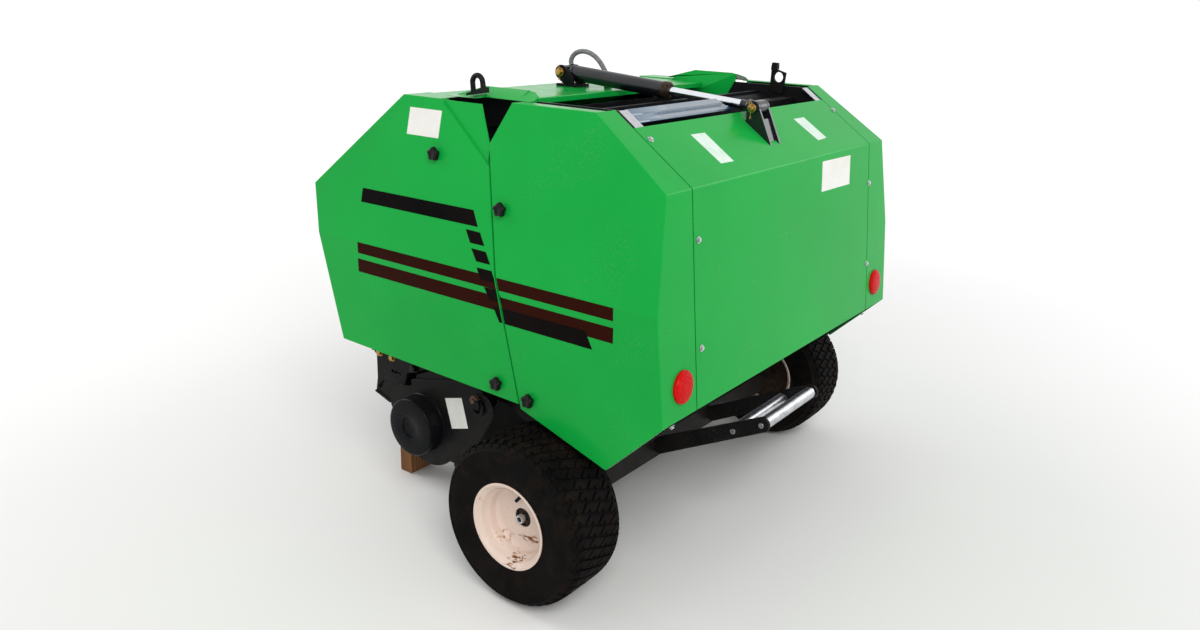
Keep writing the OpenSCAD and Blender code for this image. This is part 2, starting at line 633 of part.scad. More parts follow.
// Wheels
rim_half = 100;
bead_r = 104;
module tyre() color([0.05, 0.05, 0.05]) rotate([0, 90, 0]) rotate_extrude($fn = 96) {
    h = tyre_w / 2;
    r = tyre_d / 2;
    difference() {
        polygon([
            [bead_r, -rim_half + 14], [rim_d / 2 + 4, -rim_half + 4], [r - 70, -h + 2], [r - 45, -h], [r - 16, -h + 8],
            [r - 3, -h + 26], [r, -h + 50], [r, h - 50], [r - 3, h - 26], [r - 16, h - 8], [r - 45, h], [r - 70, h - 2],
            [rim_d / 2 + 4, rim_half - 4], [bead_r, rim_half - 14]
        ]);
        polygon([
            [bead_r - 1, -rim_half + 30], [r - 60, -h + 12], [r - 18, -h + 30], [r - 14, 0], [r - 18, h - 30],
            [r - 60, h - 12], [bead_r - 1, rim_half - 30]
        ]);
    }
}
module rim() color("ivory") rotate([0, 90, 0]) {
    rotate_extrude($fn = 96) polygon([
        [rim_d / 2, rim_half], [rim_d / 2, rim_half - 4], [bead_r - 0.5, rim_half - 14], [bead_r - 0.5, 40], [78, 30],
        [78, -50], [bead_r - 0.5, -60], [bead_r - 0.5, -rim_half + 14], [rim_d / 2, -rim_half + 4], [rim_d / 2, -rim_half],
        [bead_r - 6, -rim_half + 8], [bead_r - 6, -58], [74, -50], [74, 30], [26, 34], [26, 38], [74, 38], [bead_r - 6, 48],
        [bead_r - 6, rim_half - 8]
    ]);
    difference() {
        union() {
            translate([0, 0, -85]) cylinder(d = 50, h = 85 + hub_end);
            translate([0, 0, -50]) cylinder(r = 76, h = 6);
        }
        translate([0, 0, -90]) cylinder(d = spindle_d + 2 * running, h = 200);
    }
}
module tyre_left() translate([wheel_x, 0, axle_z]) tyre();
module rim_left() translate([wheel_x, 0, axle_z]) rim();
module tyre_right() translate([-wheel_x, 0, axle_z]) mirror([1, 0, 0]) tyre();
module rim_right() translate([-wheel_x, 0, axle_z]) mirror([1, 0, 0]) rim();

// Pickup: end plates with round caps, rear tube and pivot stubs
reel_at = [reel_y, reel_z];
end_t = 8;
band_t = 3;
band_top = reel_at + [140, band_r - 15 - band_t];
band_low = reel_at + [120, -band_r + 15 + band_t];
module pickup_end_outline() belt([[-640, 315, 58], [reel_y, reel_z, 92], [-425, 275, 92], [-303, 395, 46]]);
module pickup_frame() color([0.1, 0.1, 0.11]) {
    for (s = [-1, 1]) mirrored(s) {
        across(pickup_half_w - end_t, pickup_half_w) difference() {
            pickup_end_outline();
            translate(reel_at) circle(r = 20 + running);
        }
        across(pickup_half_w - tiny, pickup_half_w + cap_depth) difference() {
            translate(reel_at) circle(89);
        }
        cross_bar(pickup_pivot, pickup_pivot_d / 2, plate_in - 4, pickup_half_w + 14);
    }
    for (p = [band_top, band_low])
        translate([-pickup_half_w + end_t - tiny, p[0], p[1] - 15]) cube([2 * (pickup_half_w - end_t + tiny), 30, 30]);
}

band_gap = 24;
band_count = floor(2 * (pickup_half_w - end_t - 70) / tine_pitch);
module band_shape() {
    difference() {
        union() {
            circle(band_r);
            translate([0, band_r - band_t]) square([band_top[0] - reel_y - seated, band_t]);
            translate([0, -band_r]) square([band_low[0] - reel_y - seated, band_t]);
        }
        circle(band_r - band_t);
        translate([0, -band_r + band_t]) square([band_r, 2 * (band_r - band_t)]);
    }
    translate([band_top[0] - reel_y - seated - band_t, band_r - 33]) square([band_t, 33]);
    translate([band_low[0] - reel_y - seated - band_t, -band_r]) square([band_t, 33]);
}
module stripper_bands() color([0.1, 0.1, 0.11]) for (i = [0:band_count - 1]) {
    x = (i - (band_count - 1) / 2) * tine_pitch;
    w = (tine_pitch - band_gap) / 2;
    translate([0, reel_y, reel_z]) across(x - w, x + w) band_shape();
}

// Tine reel: shaft, spiders, four bars and their spring tines
bar_r = 72;
bar_d = 22;
bars = 4;
bar_half = pickup_half_w - end_t - 39;
module tine_reel() color("dimgray") translate([0, reel_y, reel_z]) rotate([0, 90, 0]) {
    cylinder(d = 40, h = 2 * (pickup_half_w - 2), center = true);
    for (k = [-3:2:3]) translate([0, 0, k * (bar_half - 15) / 3]) cylinder(r = bar_r + 4, h = 6, center = true);
    for (k = [0:bars - 1]) rotate((k + 0.5) * 360 / bars) {
        translate([bar_r, 0, 0]) cylinder(d = bar_d, h = 2 * bar_half, center = true);
        for (i = [0:band_count]) translate([bar_r, 0, (i - band_count / 2) * tine_pitch])
            rotate([0, 90, 0]) cylinder(d = tine_d, h = tine_tip_r - bar_r, $fn = 16);
    }
}

// Feed floor between the pickup and the chamber's first roller
module feed_floor() color([0.1, 0.1, 0.11]) across(-plate_in + seated, plate_in - seated)
    polygon([[-325, 446], [-200, 474], [-200, 474 + 3], [-325, 449]]);

// Bale ramp: two arms on the axle and two rollers
ramp_x = 155;
ramp_root = [50, 240];
module ramp_frame() color([0.1, 0.1, 0.11]) for (s = [-1, 1]) mirrored(s) difference() {
    across(ramp_x - 5, ramp_x + 5) web(ramp_root, 26, ramp_out, ramp_boss_r);
    across(ramp_x - 10, ramp_x + 10) {
        translate(ramp_out) circle(d = 16 + 2 * running);
        translate(ramp_in) circle(d = 16 + 2 * running);
        translate([-100, axle_z - beam_half - seated]) square([100 + beam_half + seated, 2 * beam_half + 2 * seated]);
    }
}
module ramp_roller(p) color("silver") {
    cross_bar(p, ramp_roller_d / 2, -ramp_x + 10, ramp_x - 10);
    cross_bar(p, 8, -ramp_x - 12, ramp_x + 12);
}
module ramp_roller_inner() ramp_roller(ramp_in);
module ramp_roller_outer() ramp_roller(ramp_out);

module roller_1() roller(0);
module roller_2() roller(1);
module roller_3() roller(2);
module roller_4() roller(3);
module roller_5() roller(4);
module roller_6() roller(5);
module roller_7() roller(6);
module roller_8() roller(7);
module roller_9() roller(8);
module roller_10() roller(9);
module roller_11() roller(10);
module roller_12() roller(11);

place() side_plate_left();
place() side_plate_right();
place() axle_beam();
place() front_frame();
place() headstock();
place() mast();
place() gearbox();
place() front_cover_left();
place() front_cover_right();
place() front_panel();
place() front_top_plate();
place() cylinder_post();
place() hinge_guards();
place() lifting_eye();
place() hydraulic_hose();
place() timber_posts();
place() pto_shaft();
place() feed_floor();
place() front_knobs();
place() tail_plate_left();
place() tail_plate_right();
place() rear_cover_left();
place() rear_cover_right();
place() rear_panel();
place() tail_beams();
place() cylinder_lug();
place() top_guard();
place() rear_knobs();
place() rear_reflectors();
place() cylinder_barrel();
place() cylinder_rod();
place() tyre_left();
place() rim_left();
place() tyre_right();
place() rim_right();
place() pickup_frame();
place() stripper_bands();
place() tine_reel();
place() ramp_frame();
place() ramp_roller_inner();
place() ramp_roller_outer();
place() roller_1();
place() roller_2();
place() roller_3();
place() roller_4();
place() roller_5();
place() roller_6();
place() roller_7();
place() roller_8();
place() roller_9();
place() roller_10();
place() roller_11();
place() roller_12();
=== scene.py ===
"""Small round baler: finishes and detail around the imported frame."""
import json
import math

import bmesh
import bpy
from mathutils import Matrix, Vector


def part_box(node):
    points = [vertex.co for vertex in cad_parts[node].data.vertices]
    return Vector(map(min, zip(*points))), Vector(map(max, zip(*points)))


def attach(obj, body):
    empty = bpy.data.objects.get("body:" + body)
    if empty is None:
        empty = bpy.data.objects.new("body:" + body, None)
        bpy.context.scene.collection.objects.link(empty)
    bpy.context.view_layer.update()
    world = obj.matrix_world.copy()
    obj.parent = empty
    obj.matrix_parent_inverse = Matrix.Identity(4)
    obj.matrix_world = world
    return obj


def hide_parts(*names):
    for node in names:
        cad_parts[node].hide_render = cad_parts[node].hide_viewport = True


bl_info = {
    "name": "Small Round Baler",
    "version": (1, 0),
    "blender": (4, 5, 0),
    "location": "View3D > Sidebar > Baler",
    "description": "Sheet covers, wheels, pickup, cylinder and finishes of a small round baler",
    "category": "Object",
}

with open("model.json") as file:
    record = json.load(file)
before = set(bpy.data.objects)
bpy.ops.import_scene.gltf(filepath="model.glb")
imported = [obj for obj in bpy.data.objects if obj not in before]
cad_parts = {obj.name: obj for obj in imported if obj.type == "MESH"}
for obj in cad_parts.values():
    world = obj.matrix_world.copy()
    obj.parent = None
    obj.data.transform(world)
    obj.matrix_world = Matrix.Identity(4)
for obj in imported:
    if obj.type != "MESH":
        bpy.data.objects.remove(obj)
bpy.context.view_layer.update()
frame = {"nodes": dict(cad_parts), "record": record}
NODES = frame["nodes"]
BODY_OF = {n: b for b, ns in frame["record"]["behaviour"]["bodies"].items() for n in ns}
MM = 0.001
TYRE_LOW, TYRE_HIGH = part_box("tyre_left")
AXLE_Y = (TYRE_LOW.y + TYRE_HIGH.y) / 2
AXLE_Z = (TYRE_LOW.z + TYRE_HIGH.z) / 2
WHEEL_X = (TYRE_LOW.x + TYRE_HIGH.x) / 2
FRONT, REAR = "root", "tailgate"
SIDE_NAME = {1: "left", -1: "right"}
PLATE_OUT = 0.5133


# Sizes and colours that a user would change

def measure(name, text, value, digits=2):
    return bpy.props.FloatProperty(name=name, description=text, default=value, unit="LENGTH", precision=digits)


class BalerSizes(bpy.types.PropertyGroup):
    crease_half_width: measure("Crease half width", "Half width of the body over the crease of the side covers", 0.684)
    crease_height: measure("Crease height", "Height of the crease above the ground", 0.85)
    upper_lean: bpy.props.FloatProperty(
        name="Upper lean", description="Inward lean of a cover above the crease, per unit of height", default=0.182)
    lower_lean: bpy.props.FloatProperty(
        name="Lower lean", description="Inward lean of a cover below the crease, per unit of height", default=0.021)
    fold_radius: measure("Fold radius", "Outer radius of the bends of the sheet metal", 0.0035, 4)
    stripe_thickness: measure("Stripe thickness", "Thickness of the film of the stripes", 0.0003, 5)
    knob_diameter: measure("Knob diameter", "Diameter of a cover's knob over its lobes", 0.038, 4)
    tread_pitches: bpy.props.IntProperty(
        name="Tread pitches", description="Number of tread blocks around a tyre in each row", default=46)
    tread_depth: measure("Tread depth", "Height of the tread blocks over the carcass", 0.0065, 4)


def colour(name, text, value):
    return bpy.props.FloatVectorProperty(
        name=name, description=text, subtype="COLOR", size=3, min=0, max=1, default=value)


class BalerColours(bpy.types.PropertyGroup):
    enamel: colour("Enamel", "Green enamel of the covers and panels", (0.004, 0.36, 0.050))
    plate_black: colour("Plate black", "Satin black of the plates, beams and arms", (0.006, 0.0062, 0.007))
    stripe_black: colour("Stripe black", "Black film of the stripes", (0.0018, 0.0018, 0.0022))
    stripe_red: colour("Stripe red", "Dark red film of the stripes", (0.024, 0.0030, 0.0012))
    rim_cream: colour("Rim cream", "Cream paint of the rims", (0.72, 0.59, 0.52))
    rubber: colour("Rubber", "Rubber of the tyres", (0.0036, 0.0035, 0.0037))
    lens_red: colour("Lens red", "Red of the reflectors", (0.46, 0.0008, 0.0012))
    timber: colour("Timber", "Rough sawn timber", (0.25, 0.088, 0.016))


def sizes():
    return bpy.context.scene.baler_sizes


def colours():
    return bpy.context.scene.baler_colours


def cover_x(z):
    """Half width of the body over the side covers at a height."""
    s = sizes()
    lean = s.upper_lean if z > s.crease_height else -s.lower_lean
    return s.crease_half_width - lean * (z - s.crease_height)


# Selecting and shaping

def deselect():
    if bpy.context.object and bpy.context.object.mode != "OBJECT":
        bpy.ops.object.mode_set(mode="OBJECT")
    bpy.ops.object.select_all(action="DESELECT")


def only(*pieces):
    deselect()
    for piece in pieces:
        piece.select_set(True)
    bpy.context.view_layer.objects.active = pieces[0]


def enter(piece):
    only(piece)
    bpy.ops.object.mode_set(mode="EDIT")
    bpy.ops.mesh.select_mode(type="FACE")
    bpy.ops.mesh.select_all(action="DESELECT")


def leave():
    bpy.ops.object.mode_set(mode="OBJECT")


def pick(piece, kind, test):
    """Selects the faces, edges or verts of a piece in edit mode that pass the test."""
    bpy.ops.mesh.select_mode(type={"faces": "FACE", "edges": "EDGE", "verts": "VERT"}[kind])
    bpy.ops.mesh.select_all(action="DESELECT")
    mesh = bmesh.from_edit_mesh(piece.data)
    for item in getattr(mesh, kind):
        item.select_set(bool(test(item)))
    mesh.select_flush_mode()
    bmesh.update_edit_mesh(piece.data)


def place_points(piece, points):
    """Puts the vertices of a piece at the given points, in order."""
    for vertex, point in zip(piece.data.vertices, points):
        vertex.co = point
    piece.data.update()


def apply_modifier(piece, kind, **values):
    only(piece)
    modifier = piece.modifiers.new(kind.title(), kind)
    for key, value in values.items():
        setattr(modifier, key, value)
    bpy.ops.object.modifier_apply(modifier=modifier.name)


def soften(piece, width, segments=2, angle=32):
    apply_modifier(piece, "BEVEL", width=width, segments=segments, limit_method="ANGLE",
                   angle_limit=math.radians(angle), harden_normals=False)


def settle(piece):
    only(piece)
    bpy.ops.object.transform_apply(location=True, rotation=True, scale=True)


def close_up(piece, distance=1e-5):
    enter(piece)
    bpy.ops.mesh.select_all(action="SELECT")
    bpy.ops.mesh.remove_doubles(threshold=distance)
    bpy.ops.mesh.normals_make_consistent(inside=False)
    leave()


def placed(name, data):
    """A new object with the given data, put into the scene."""
    piece = bpy.data.objects.new(name, data)
    bpy.context.scene.collection.objects.link(piece)
    return piece


def joined(name, pieces):
    only(*pieces)
    if len(pieces) > 1:
        bpy.ops.object.join()
    piece = bpy.context.view_layer.objects.active
    piece.name = piece.data.name = name
    return piece


def copy_of(piece, matrix):
    twin = placed(piece.name, piece.data.copy())
    twin.data.transform(matrix)
    return twin


def move_points(piece, rule):
    """Moves the points of a piece by a rule of their places."""
    for vertex in piece.data.vertices:
        vertex.co = rule(vertex.co.copy())
    piece.data.update()


def hand_over(piece, name, material, body, angle=38, replaces=()):
    """Names a finished piece, gives it its finish and its body."""
    settle(piece)
    piece.name = piece.data.name = name
    piece.data.materials.clear()
    piece.data.materials.append(finish(material))
    only(piece)
    bpy.ops.object.shade_smooth_by_angle(angle=math.radians(angle))
    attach(piece, body)
    if replaces:
        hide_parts(*replaces)
    deselect()


def turned(name, profile, centre, axis, steps):
    """A closed profile of (radius, height) pairs spun round an axis through centre."""
    axis = Vector(axis).normalized()
    across = axis.orthogonal().normalized()
    deselect()
    bpy.ops.mesh.primitive_circle_add(vertices=len(profile), fill_type="NOTHING")
    piece = bpy.context.object
    piece.name = name
    place_points(piece, [Vector(centre) + across * r + axis * h for r, h in profile])
    enter(piece)
    bpy.ops.mesh.select_mode(type="VERT")
    bpy.ops.mesh.select_all(action="SELECT")
    bpy.ops.mesh.spin(steps=steps, angle=math.tau, center=centre, axis=axis)
    leave()
    close_up(piece)
    return piece


def spun(name, profile, centre, axis, steps):
    """A turned piece whose profile is in millimetres."""
    return turned(name, [(r * MM, h * MM) for r, h in profile], centre, axis, steps)


def flat_plate(name, points, thickness, lift=0.0):
    """A flat n-cornered plate; its thickness grows along the normal of the corners' order."""
    points = [Vector(p) for p in points]
    start = points[0]
    normal = sum(((a - start).cross(b - start) for a, b in zip(points[1:], points[2:])), Vector()).normalized()
    deselect()
    bpy.ops.mesh.primitive_circle_add(vertices=len(points), fill_type="NGON")
    piece = bpy.context.object
    piece.name = name
    place_points(piece, [p + normal * lift for p in points])
    enter(piece)
    bpy.ops.mesh.select_all(action="SELECT")
    bpy.ops.mesh.extrude_region_move(TRANSFORM_OT_translate={"value": normal * thickness})
    leave()
    close_up(piece, 1e-6)
    return piece


def round_bar(name, start, end, radius, bevel, sides, steps=2):
    start, end = Vector(start), Vector(end)
    deselect()
    bpy.ops.mesh.primitive_cylinder_add(
        vertices=sides, radius=radius, depth=(end - start).length, location=(start + end) / 2,
        rotation=(end - start).to_track_quat("Z", "Y").to_euler())
    piece = bpy.context.object
    piece.name = name
    settle(piece)
    soften(piece, bevel, steps)
    return piece


WASHER_THICK = 0.0022


def hex_nut(name, centre, axis, across_flats, height, washer=0.0):
    """A chamfered hexagon on a washer; centre is the seat and axis points outwards."""
    axis, centre = Vector(axis).normalized(), Vector(centre)
    parts = []
    if washer:
        parts.append(round_bar(name, centre, centre + axis * WASHER_THICK, washer, 0.0004, 24, 1))
        centre = centre + axis * WASHER_THICK
    top = centre + axis * height
    head = round_bar(name, centre, top, across_flats / math.sqrt(3), 0.0006, 6, 2)
    enter(head)
    pick(head, "faces", lambda f: len(f.verts) == 6 and f.normal.dot(axis) > 0.9)
    bpy.ops.mesh.inset(thickness=across_flats * 0.12, depth=0.0)
    bpy.ops.transform.translate(value=axis * across_flats * 0.03)
    leave()
    parts.append(head)
    return joined(name, parts)


def split_pin(name, centre, axis, along, length, radius=0.0013):
    """A split pin through a hole: a round eye on one side and two bent legs on the other."""
    axis, along, centre = Vector(axis).normalized(), Vector(along).normalized(), Vector(centre)
    angles = [i * math.tau / 8 for i in range(8)]
    eye = turned(name, [(0.0042 + radius * math.cos(a), radius * math.sin(a)) for a in angles],
                 centre - axis * (length / 2 + 0.004), along, 16)
    leg = round_bar(name, centre - axis * length / 2, centre + axis * length * 0.36, radius, 0.0005, 8, 1)
    bent = round_bar(name, centre + axis * length * 0.34, centre + axis * length * 0.6 + along * length * 0.2,
                     radius * 0.9, 0.0005, 8, 1)
    other = round_bar(name, centre + axis * length * 0.34, centre + axis * length * 0.7 - along * length * 0.1,
                      radius * 0.9, 0.0005, 8, 1)
    return joined(name, [eye, leg, bent, other])


# Faces up to the thin width are rims; only faces over the broad one take the slight bends
THIN, BROAD = 0.0045, 0.02


def bent_copy(node, ending, material, fold=0.0008, rim=0.0008):
    """A copy of a node's mesh with its folds rounded and its rims eased."""
    piece = placed(node + ending, NODES[node].data.copy())
    enter(piece)
    bpy.ops.mesh.select_all(action="SELECT")
    bpy.ops.mesh.remove_doubles(threshold=1e-5)
    bpy.ops.mesh.dissolve_limited(angle_limit=math.radians(0.4))
    mesh = bmesh.from_edit_mesh(piece.data)
    weight = mesh.edges.layers.float.get("bevel_weight_edge") or mesh.edges.layers.float.new("bevel_weight_edge")

    def width(face):
        return 2 * face.calc_area() / face.calc_perimeter()

    for edge in mesh.edges:
        edge[weight] = 0
        if len(edge.link_faces) == 2:
            angle = edge.calc_face_angle_signed(0)
            if abs(angle) > math.radians(18):
                broad = min(width(f) for f in edge.link_faces) > THIN
                edge[weight] = (1 if angle > 0 else 0.35) if broad and fold > rim else rim / fold
            elif abs(angle) > math.radians(4) and min(width(f) for f in edge.link_faces) > BROAD:
                edge[weight] = 1
    bmesh.update_edit_mesh(piece.data)
    leave()
    apply_modifier(piece, "BEVEL", width=fold, segments=3 if fold > 0.002 else 2, limit_method="WEIGHT",
                   use_clamp_overlap=True)
    hand_over(piece, node + ending, material, BODY_OF[node], 40, [node])
    apply_modifier(piece, "WEIGHTED_NORMAL", mode="FACE_AREA", weight=50, keep_sharp=True)
    return piece


# Finishes

def fill(node, values):
    for key, value in values.items():
        socket = node.inputs[key]
        if isinstance(value, bpy.types.NodeSocket):
            socket.id_data.links.new(value, socket)
        else:
            socket.default_value = value


class Recipe:
    """A node tree that is put together from left to right."""

    def __init__(self, tree):
        self.tree = tree
        self.column = 0

    def add(self, kind, values=None, **settings):
        node = self.tree.nodes.new("ShaderNode" + kind)
        node.location = (self.column * 190, -(self.column % 4) * 160)
        self.column += 1
        for key, value in settings.items():
            setattr(node, key, value)
        fill(node, values or {})
        return node

    def place(self):
        return self.add("TexCoord").outputs["Object"]

    def stretched(self, scale, turn=(0, 0, 0)):
        return self.add("Mapping", {"Vector": self.place(), "Scale": scale, "Rotation": turn}).outputs[0]

    def noise(self, scale, detail=3.0, rough=0.5, vector=None):
        return self.add("TexNoise", {"Vector": vector or self.place(), "Scale": scale, "Detail": detail,
                                     "Roughness": rough}).outputs["Fac"]

    def limits(self, value, low, high, out_low=0.0, out_high=1.0):
        return self.add("MapRange", {"Value": value, "From Min": low, "From Max": high, "To Min": out_low,
                                     "To Max": out_high}).outputs[0]

    def sum(self, operation, a, b=0.5):
        node = self.add("Math", operation=operation)
        fill(node, {0: a, 1: b})
        return node.outputs[0]

    def blend(self, factor, a, b, mode="MIX"):
        node = self.add("Mix", data_type="RGBA", blend_type=mode)
        fill(node, {0: factor, 6: rgba(a), 7: rgba(b)})
        return node.outputs[2]

    def bump(self, height, distance, strength):
        return self.add("Bump", {"Height": height, "Distance": distance, "Strength": strength}).outputs[0]


def rgba(value):
    return value if isinstance(value, bpy.types.NodeSocket) else (*value, 1.0)


def effect(recipe, name, values, output, build):
    """Adds a node group, built once and shared, with its own values, and gives its output."""
    group = bpy.data.node_groups.get(name)
    if group is None:
        group = bpy.data.node_groups.new(name, "ShaderNodeTree")
        for label, value in values.items():
            socket = group.interface.new_socket(label, in_out="INPUT", socket_type="NodeSocketFloat")
            socket.default_value = value
        group.interface.new_socket(output, in_out="OUTPUT", socket_type="NodeSocketFloat")
        start, end = group.nodes.new("NodeGroupInput"), group.nodes.new("NodeGroupOutput")
        start.location, end.location = (-300, 0), (2200, 0)
        fill(end, {output: build(Recipe(group), start.outputs)})
    return recipe.add("Group", values, node_tree=group).outputs[output]


def worn_edges(recipe, radius, scale, amount):
    """A mask of the edges where the paint is rubbed off, in patches."""
    def build(r, given):
        bevel = r.add("Bevel", {"Radius": given["Radius"]}, samples=6)
        plain = r.add("NewGeometry").outputs["Normal"]
        dot = r.add("VectorMath", {0: bevel.outputs[0], 1: plain}, operation="DOT_PRODUCT").outputs["Value"]
        edge = r.limits(dot, 0.995, 0.90)
        patch = r.noise(given["Scale"], 5, 0.65)
        low = r.sum("SUBTRACT", 1.0, given["Amount"])
        return r.limits(r.sum("MULTIPLY", edge, patch), low, r.sum("ADD", low, 0.08))
    return effect(recipe, "edge_wear", {"Radius": radius, "Scale": scale, "Amount": amount}, "Mask", build)


def dust(recipe, height, amount):
    """A mask of the dust that lies on top and below a height, with specks."""
    def build(r, given):
        where = r.add("SeparateXYZ", {0: r.place()}).outputs["Z"]
        low = r.limits(where, given["Height"], 0.0)
        up = r.add("SeparateXYZ", {0: r.add("TexCoord").outputs["Normal"]}).outputs["Z"]
        lying = r.limits(up, 0.55, 1.0, 0.0, 0.55)
        cloud = r.limits(r.noise(9, 6, 0.62), 0.38, 0.72)
        speck = r.limits(r.noise(160, 3, 0.6), 0.45, 0.75)
        both = r.sum("ADD", r.sum("MULTIPLY", r.sum("MAXIMUM", low, lying), cloud), r.sum("MULTIPLY", speck, 0.12))
        return r.sum("MULTIPLY", both, given["Amount"])
    return effect(recipe, "settled_dust", {"Height": height, "Amount": amount}, "Mask", build)


def scratches(recipe, scale, amount):
    """A mask of hair scratches in two directions."""
    def build(r, given):
        lines = []
        for turn in (0.5, 2.1):
            way = r.add("Mapping", {"Vector": r.place(), "Rotation": (turn, turn * 0.7, turn),
                                    "Scale": (0.06, 1.0, 1.0)}).outputs[0]
            fine = r.add("TexNoise", {"Vector": way, "Scale": given["Scale"], "Detail": 2.0}).outputs["Fac"]
            lines.append(r.limits(r.sum("ABSOLUTE", r.sum("SUBTRACT", fine, 0.5)), 0.004, 0.0))
        some = r.limits(r.noise(7, 2), 0.52, 0.66)
        return r.sum("MULTIPLY", r.sum("MAXIMUM", *lines), r.sum("MULTIPLY", some, given["Amount"]))
    return effect(recipe, "hair_scratches", {"Scale": scale, "Amount": amount}, "Mask", build)


def ripple(recipe, broad, fine):
    """The height of a sheet's slow waves and of the paint's orange peel."""
    def build(r, given):
        slow = r.add("TexNoise", {"Vector": r.place(), "Scale": 4.2, "Detail": 1.0}).outputs["Fac"]
        peel = r.add("TexNoise", {"Vector": r.place(), "Scale": 750.0, "Detail": 1.5}).outputs["Fac"]
        return r.sum("ADD", r.sum("MULTIPLY", slow, given["Broad"]), r.sum("MULTIPLY", peel, given["Fine"]))
    return effect(recipe, "sheet_ripple", {"Broad": broad, "Fine": fine}, "Height", build)


def painted(r, base, rough, wear_colour, wear, dusting, height, fine, broad):
    """The paint recipe that every painted finish shares; returns what goes into the shader."""
    shade = r.limits(r.noise(2.3, 3), 0.3, 0.7, 0.93, 1.06)
    colour_now = r.blend(1.0, base, r.add("CombineColor", {0: shade, 1: shade, 2: shade}).outputs[0], "MULTIPLY")
    edge = worn_edges(r, 0.0016, 90, wear)
    colour_now = r.blend(edge, colour_now, wear_colour)
    hair = scratches(r, 70, 0.35)
    colour_now = r.blend(hair, colour_now, (0.22, 0.24, 0.22))
    mask = dust(r, height, dusting)
    colour_now = r.blend(mask, colour_now, (0.30, 0.245, 0.18))
    roughness = r.sum("ADD", r.limits(r.noise(14, 4), 0.3, 0.7, rough * 0.86, rough * 1.18),
                      r.sum("MULTIPLY", r.sum("ADD", mask, edge), 0.35))
    normal = r.bump(ripple(r, broad, fine), 0.0016, 0.55)
    return {"Base Color": colour_now, "Roughness": roughness, "Normal": normal}


def mix_enamel(r):
    return {**painted(r, colours().enamel, 0.20, (0.10, 0.16, 0.11), 0.30, 0.06, 0.62, 0.012, 1.0),
            "Specular IOR Level": 0.09, "Coat Weight": 0.04, "Coat Roughness": 0.04}


def mix_plate_black(r):
    return {**painted(r, colours().plate_black, 0.38, (0.13, 0.12, 0.11), 0.30, 0.09, 0.5, 0.05, 0.3),
            "Specular IOR Level": 0.07}


def mix_barrel_black(r):
    return {**painted(r, (0.004, 0.0045, 0.006), 0.24, (0.2, 0.19, 0.18), 0.28, 0.05, 0.4, 0.03, 0.2),
            "Specular IOR Level": 0.06, "Coat Weight": 0.02, "Coat Roughness": 0.05}


def mix_gloss_black(r):
    return {**painted(r, (0.006, 0.007, 0.010), 0.20, (0.2, 0.19, 0.18), 0.28, 0.04, 0.4, 0.03, 0.2),
            "Specular IOR Level": 0.45, "Coat Weight": 0.15, "Coat Roughness": 0.05}


# The top guard's black paint: its blue base is a painted reflection of the sky, while its gloss and coat are real.
def mix_black_with_painted_sky(r):
    return {**painted(r, (0.013, 0.085, 0.170), 0.12, (0.2, 0.21, 0.22), 0.26, 0.08, 0.4, 0.02, 0.6),
            "Specular IOR Level": 0.8, "Coat Weight": 0.6, "Coat Roughness": 0.05}


def film(r, base):
    soil = dust(r, 0.5, 0.05)
    fade = r.limits(r.noise(5, 4), 0.35, 0.7, 0.0, 0.04)
    tone = r.blend(fade, base, (0.10, 0.05, 0.03))
    edge = scratches(r, 120, 0.4)
    return {"Base Color": r.blend(r.sum("MAXIMUM", soil, r.sum("MULTIPLY", edge, 0.3)), tone, (0.20, 0.18, 0.14)),
            "Roughness": r.limits(r.noise(30, 4), 0.3, 0.7, 0.26, 0.36),
            "Normal": r.bump(ripple(r, 1.0, 0.02), 0.0016, 0.5), "Specular IOR Level": 0.02}


def mix_stripe_black(r):
    return film(r, colours().stripe_black)


def mix_stripe_red(r):
    return film(r, colours().stripe_red)


def mix_chrome(r):
    run = r.noise(300, 2, 0.5, r.stretched((1.0, 0.02, 1.0)))
    smear = r.limits(r.noise(25, 4), 0.45, 0.8, 0.0, 0.2)
    # The base's slight blue tint is a painted reflection of the sky.
    return {"Base Color": r.blend(smear, (0.84, 0.87, 0.92), (0.45, 0.44, 0.42)), "Metallic": 1.0,
            "Roughness": r.limits(run, 0.3, 0.7, 0.08, 0.2), "Normal": r.bump(run, 0.00005, 0.3)}


def mix_zinc(r):
    cells = r.add("TexVoronoi", {"Vector": r.place(), "Scale": 420.0}).outputs["Color"]
    grey = r.add("SeparateColor", {0: cells}).outputs[0]
    soil = r.limits(r.noise(40, 5, 0.6), 0.5, 0.75, 0.0, 0.5)
    return {"Base Color": r.blend(soil, r.blend(grey, (0.50, 0.52, 0.55), (0.62, 0.63, 0.65)), (0.18, 0.15, 0.12)),
            "Metallic": 1.0, "Roughness": r.limits(grey, 0, 1, 0.28, 0.42),
            "Normal": r.bump(r.noise(300, 3), 0.0002, 0.4)}


def mix_brass(r):
    soil = r.limits(r.noise(60, 5, 0.6), 0.45, 0.75, 0.0, 0.6)
    return {"Base Color": r.blend(soil, (0.42, 0.27, 0.075), (0.09, 0.055, 0.025)), "Metallic": 1.0,
            "Roughness": r.limits(soil, 0, 1, 0.30, 0.6), "Normal": r.bump(r.noise(200, 3), 0.0003, 0.4)}


# Near-black steel: the rollers' own dark paint, and on the tine reel a painted shade that darkens the inside of the
# pickup.
def mix_dark_steel_and_painted_shade(r):
    run = r.noise(140, 3, 0.6, r.stretched((0.04, 1.0, 1.0)))
    rusty = r.limits(r.noise(16, 7, 0.66), 0.55, 0.72)
    tone = r.blend(r.limits(run, 0.3, 0.7), (0.004, 0.0046, 0.006), (0.010, 0.011, 0.014))
    return {"Base Color": r.blend(rusty, tone, (0.022, 0.011, 0.007)), "Metallic": 0.0,
            "Roughness": r.limits(rusty, 0, 1, 0.42, 0.8), "Normal": r.bump(run, 0.0003, 0.5),
            "Specular IOR Level": 0.05}


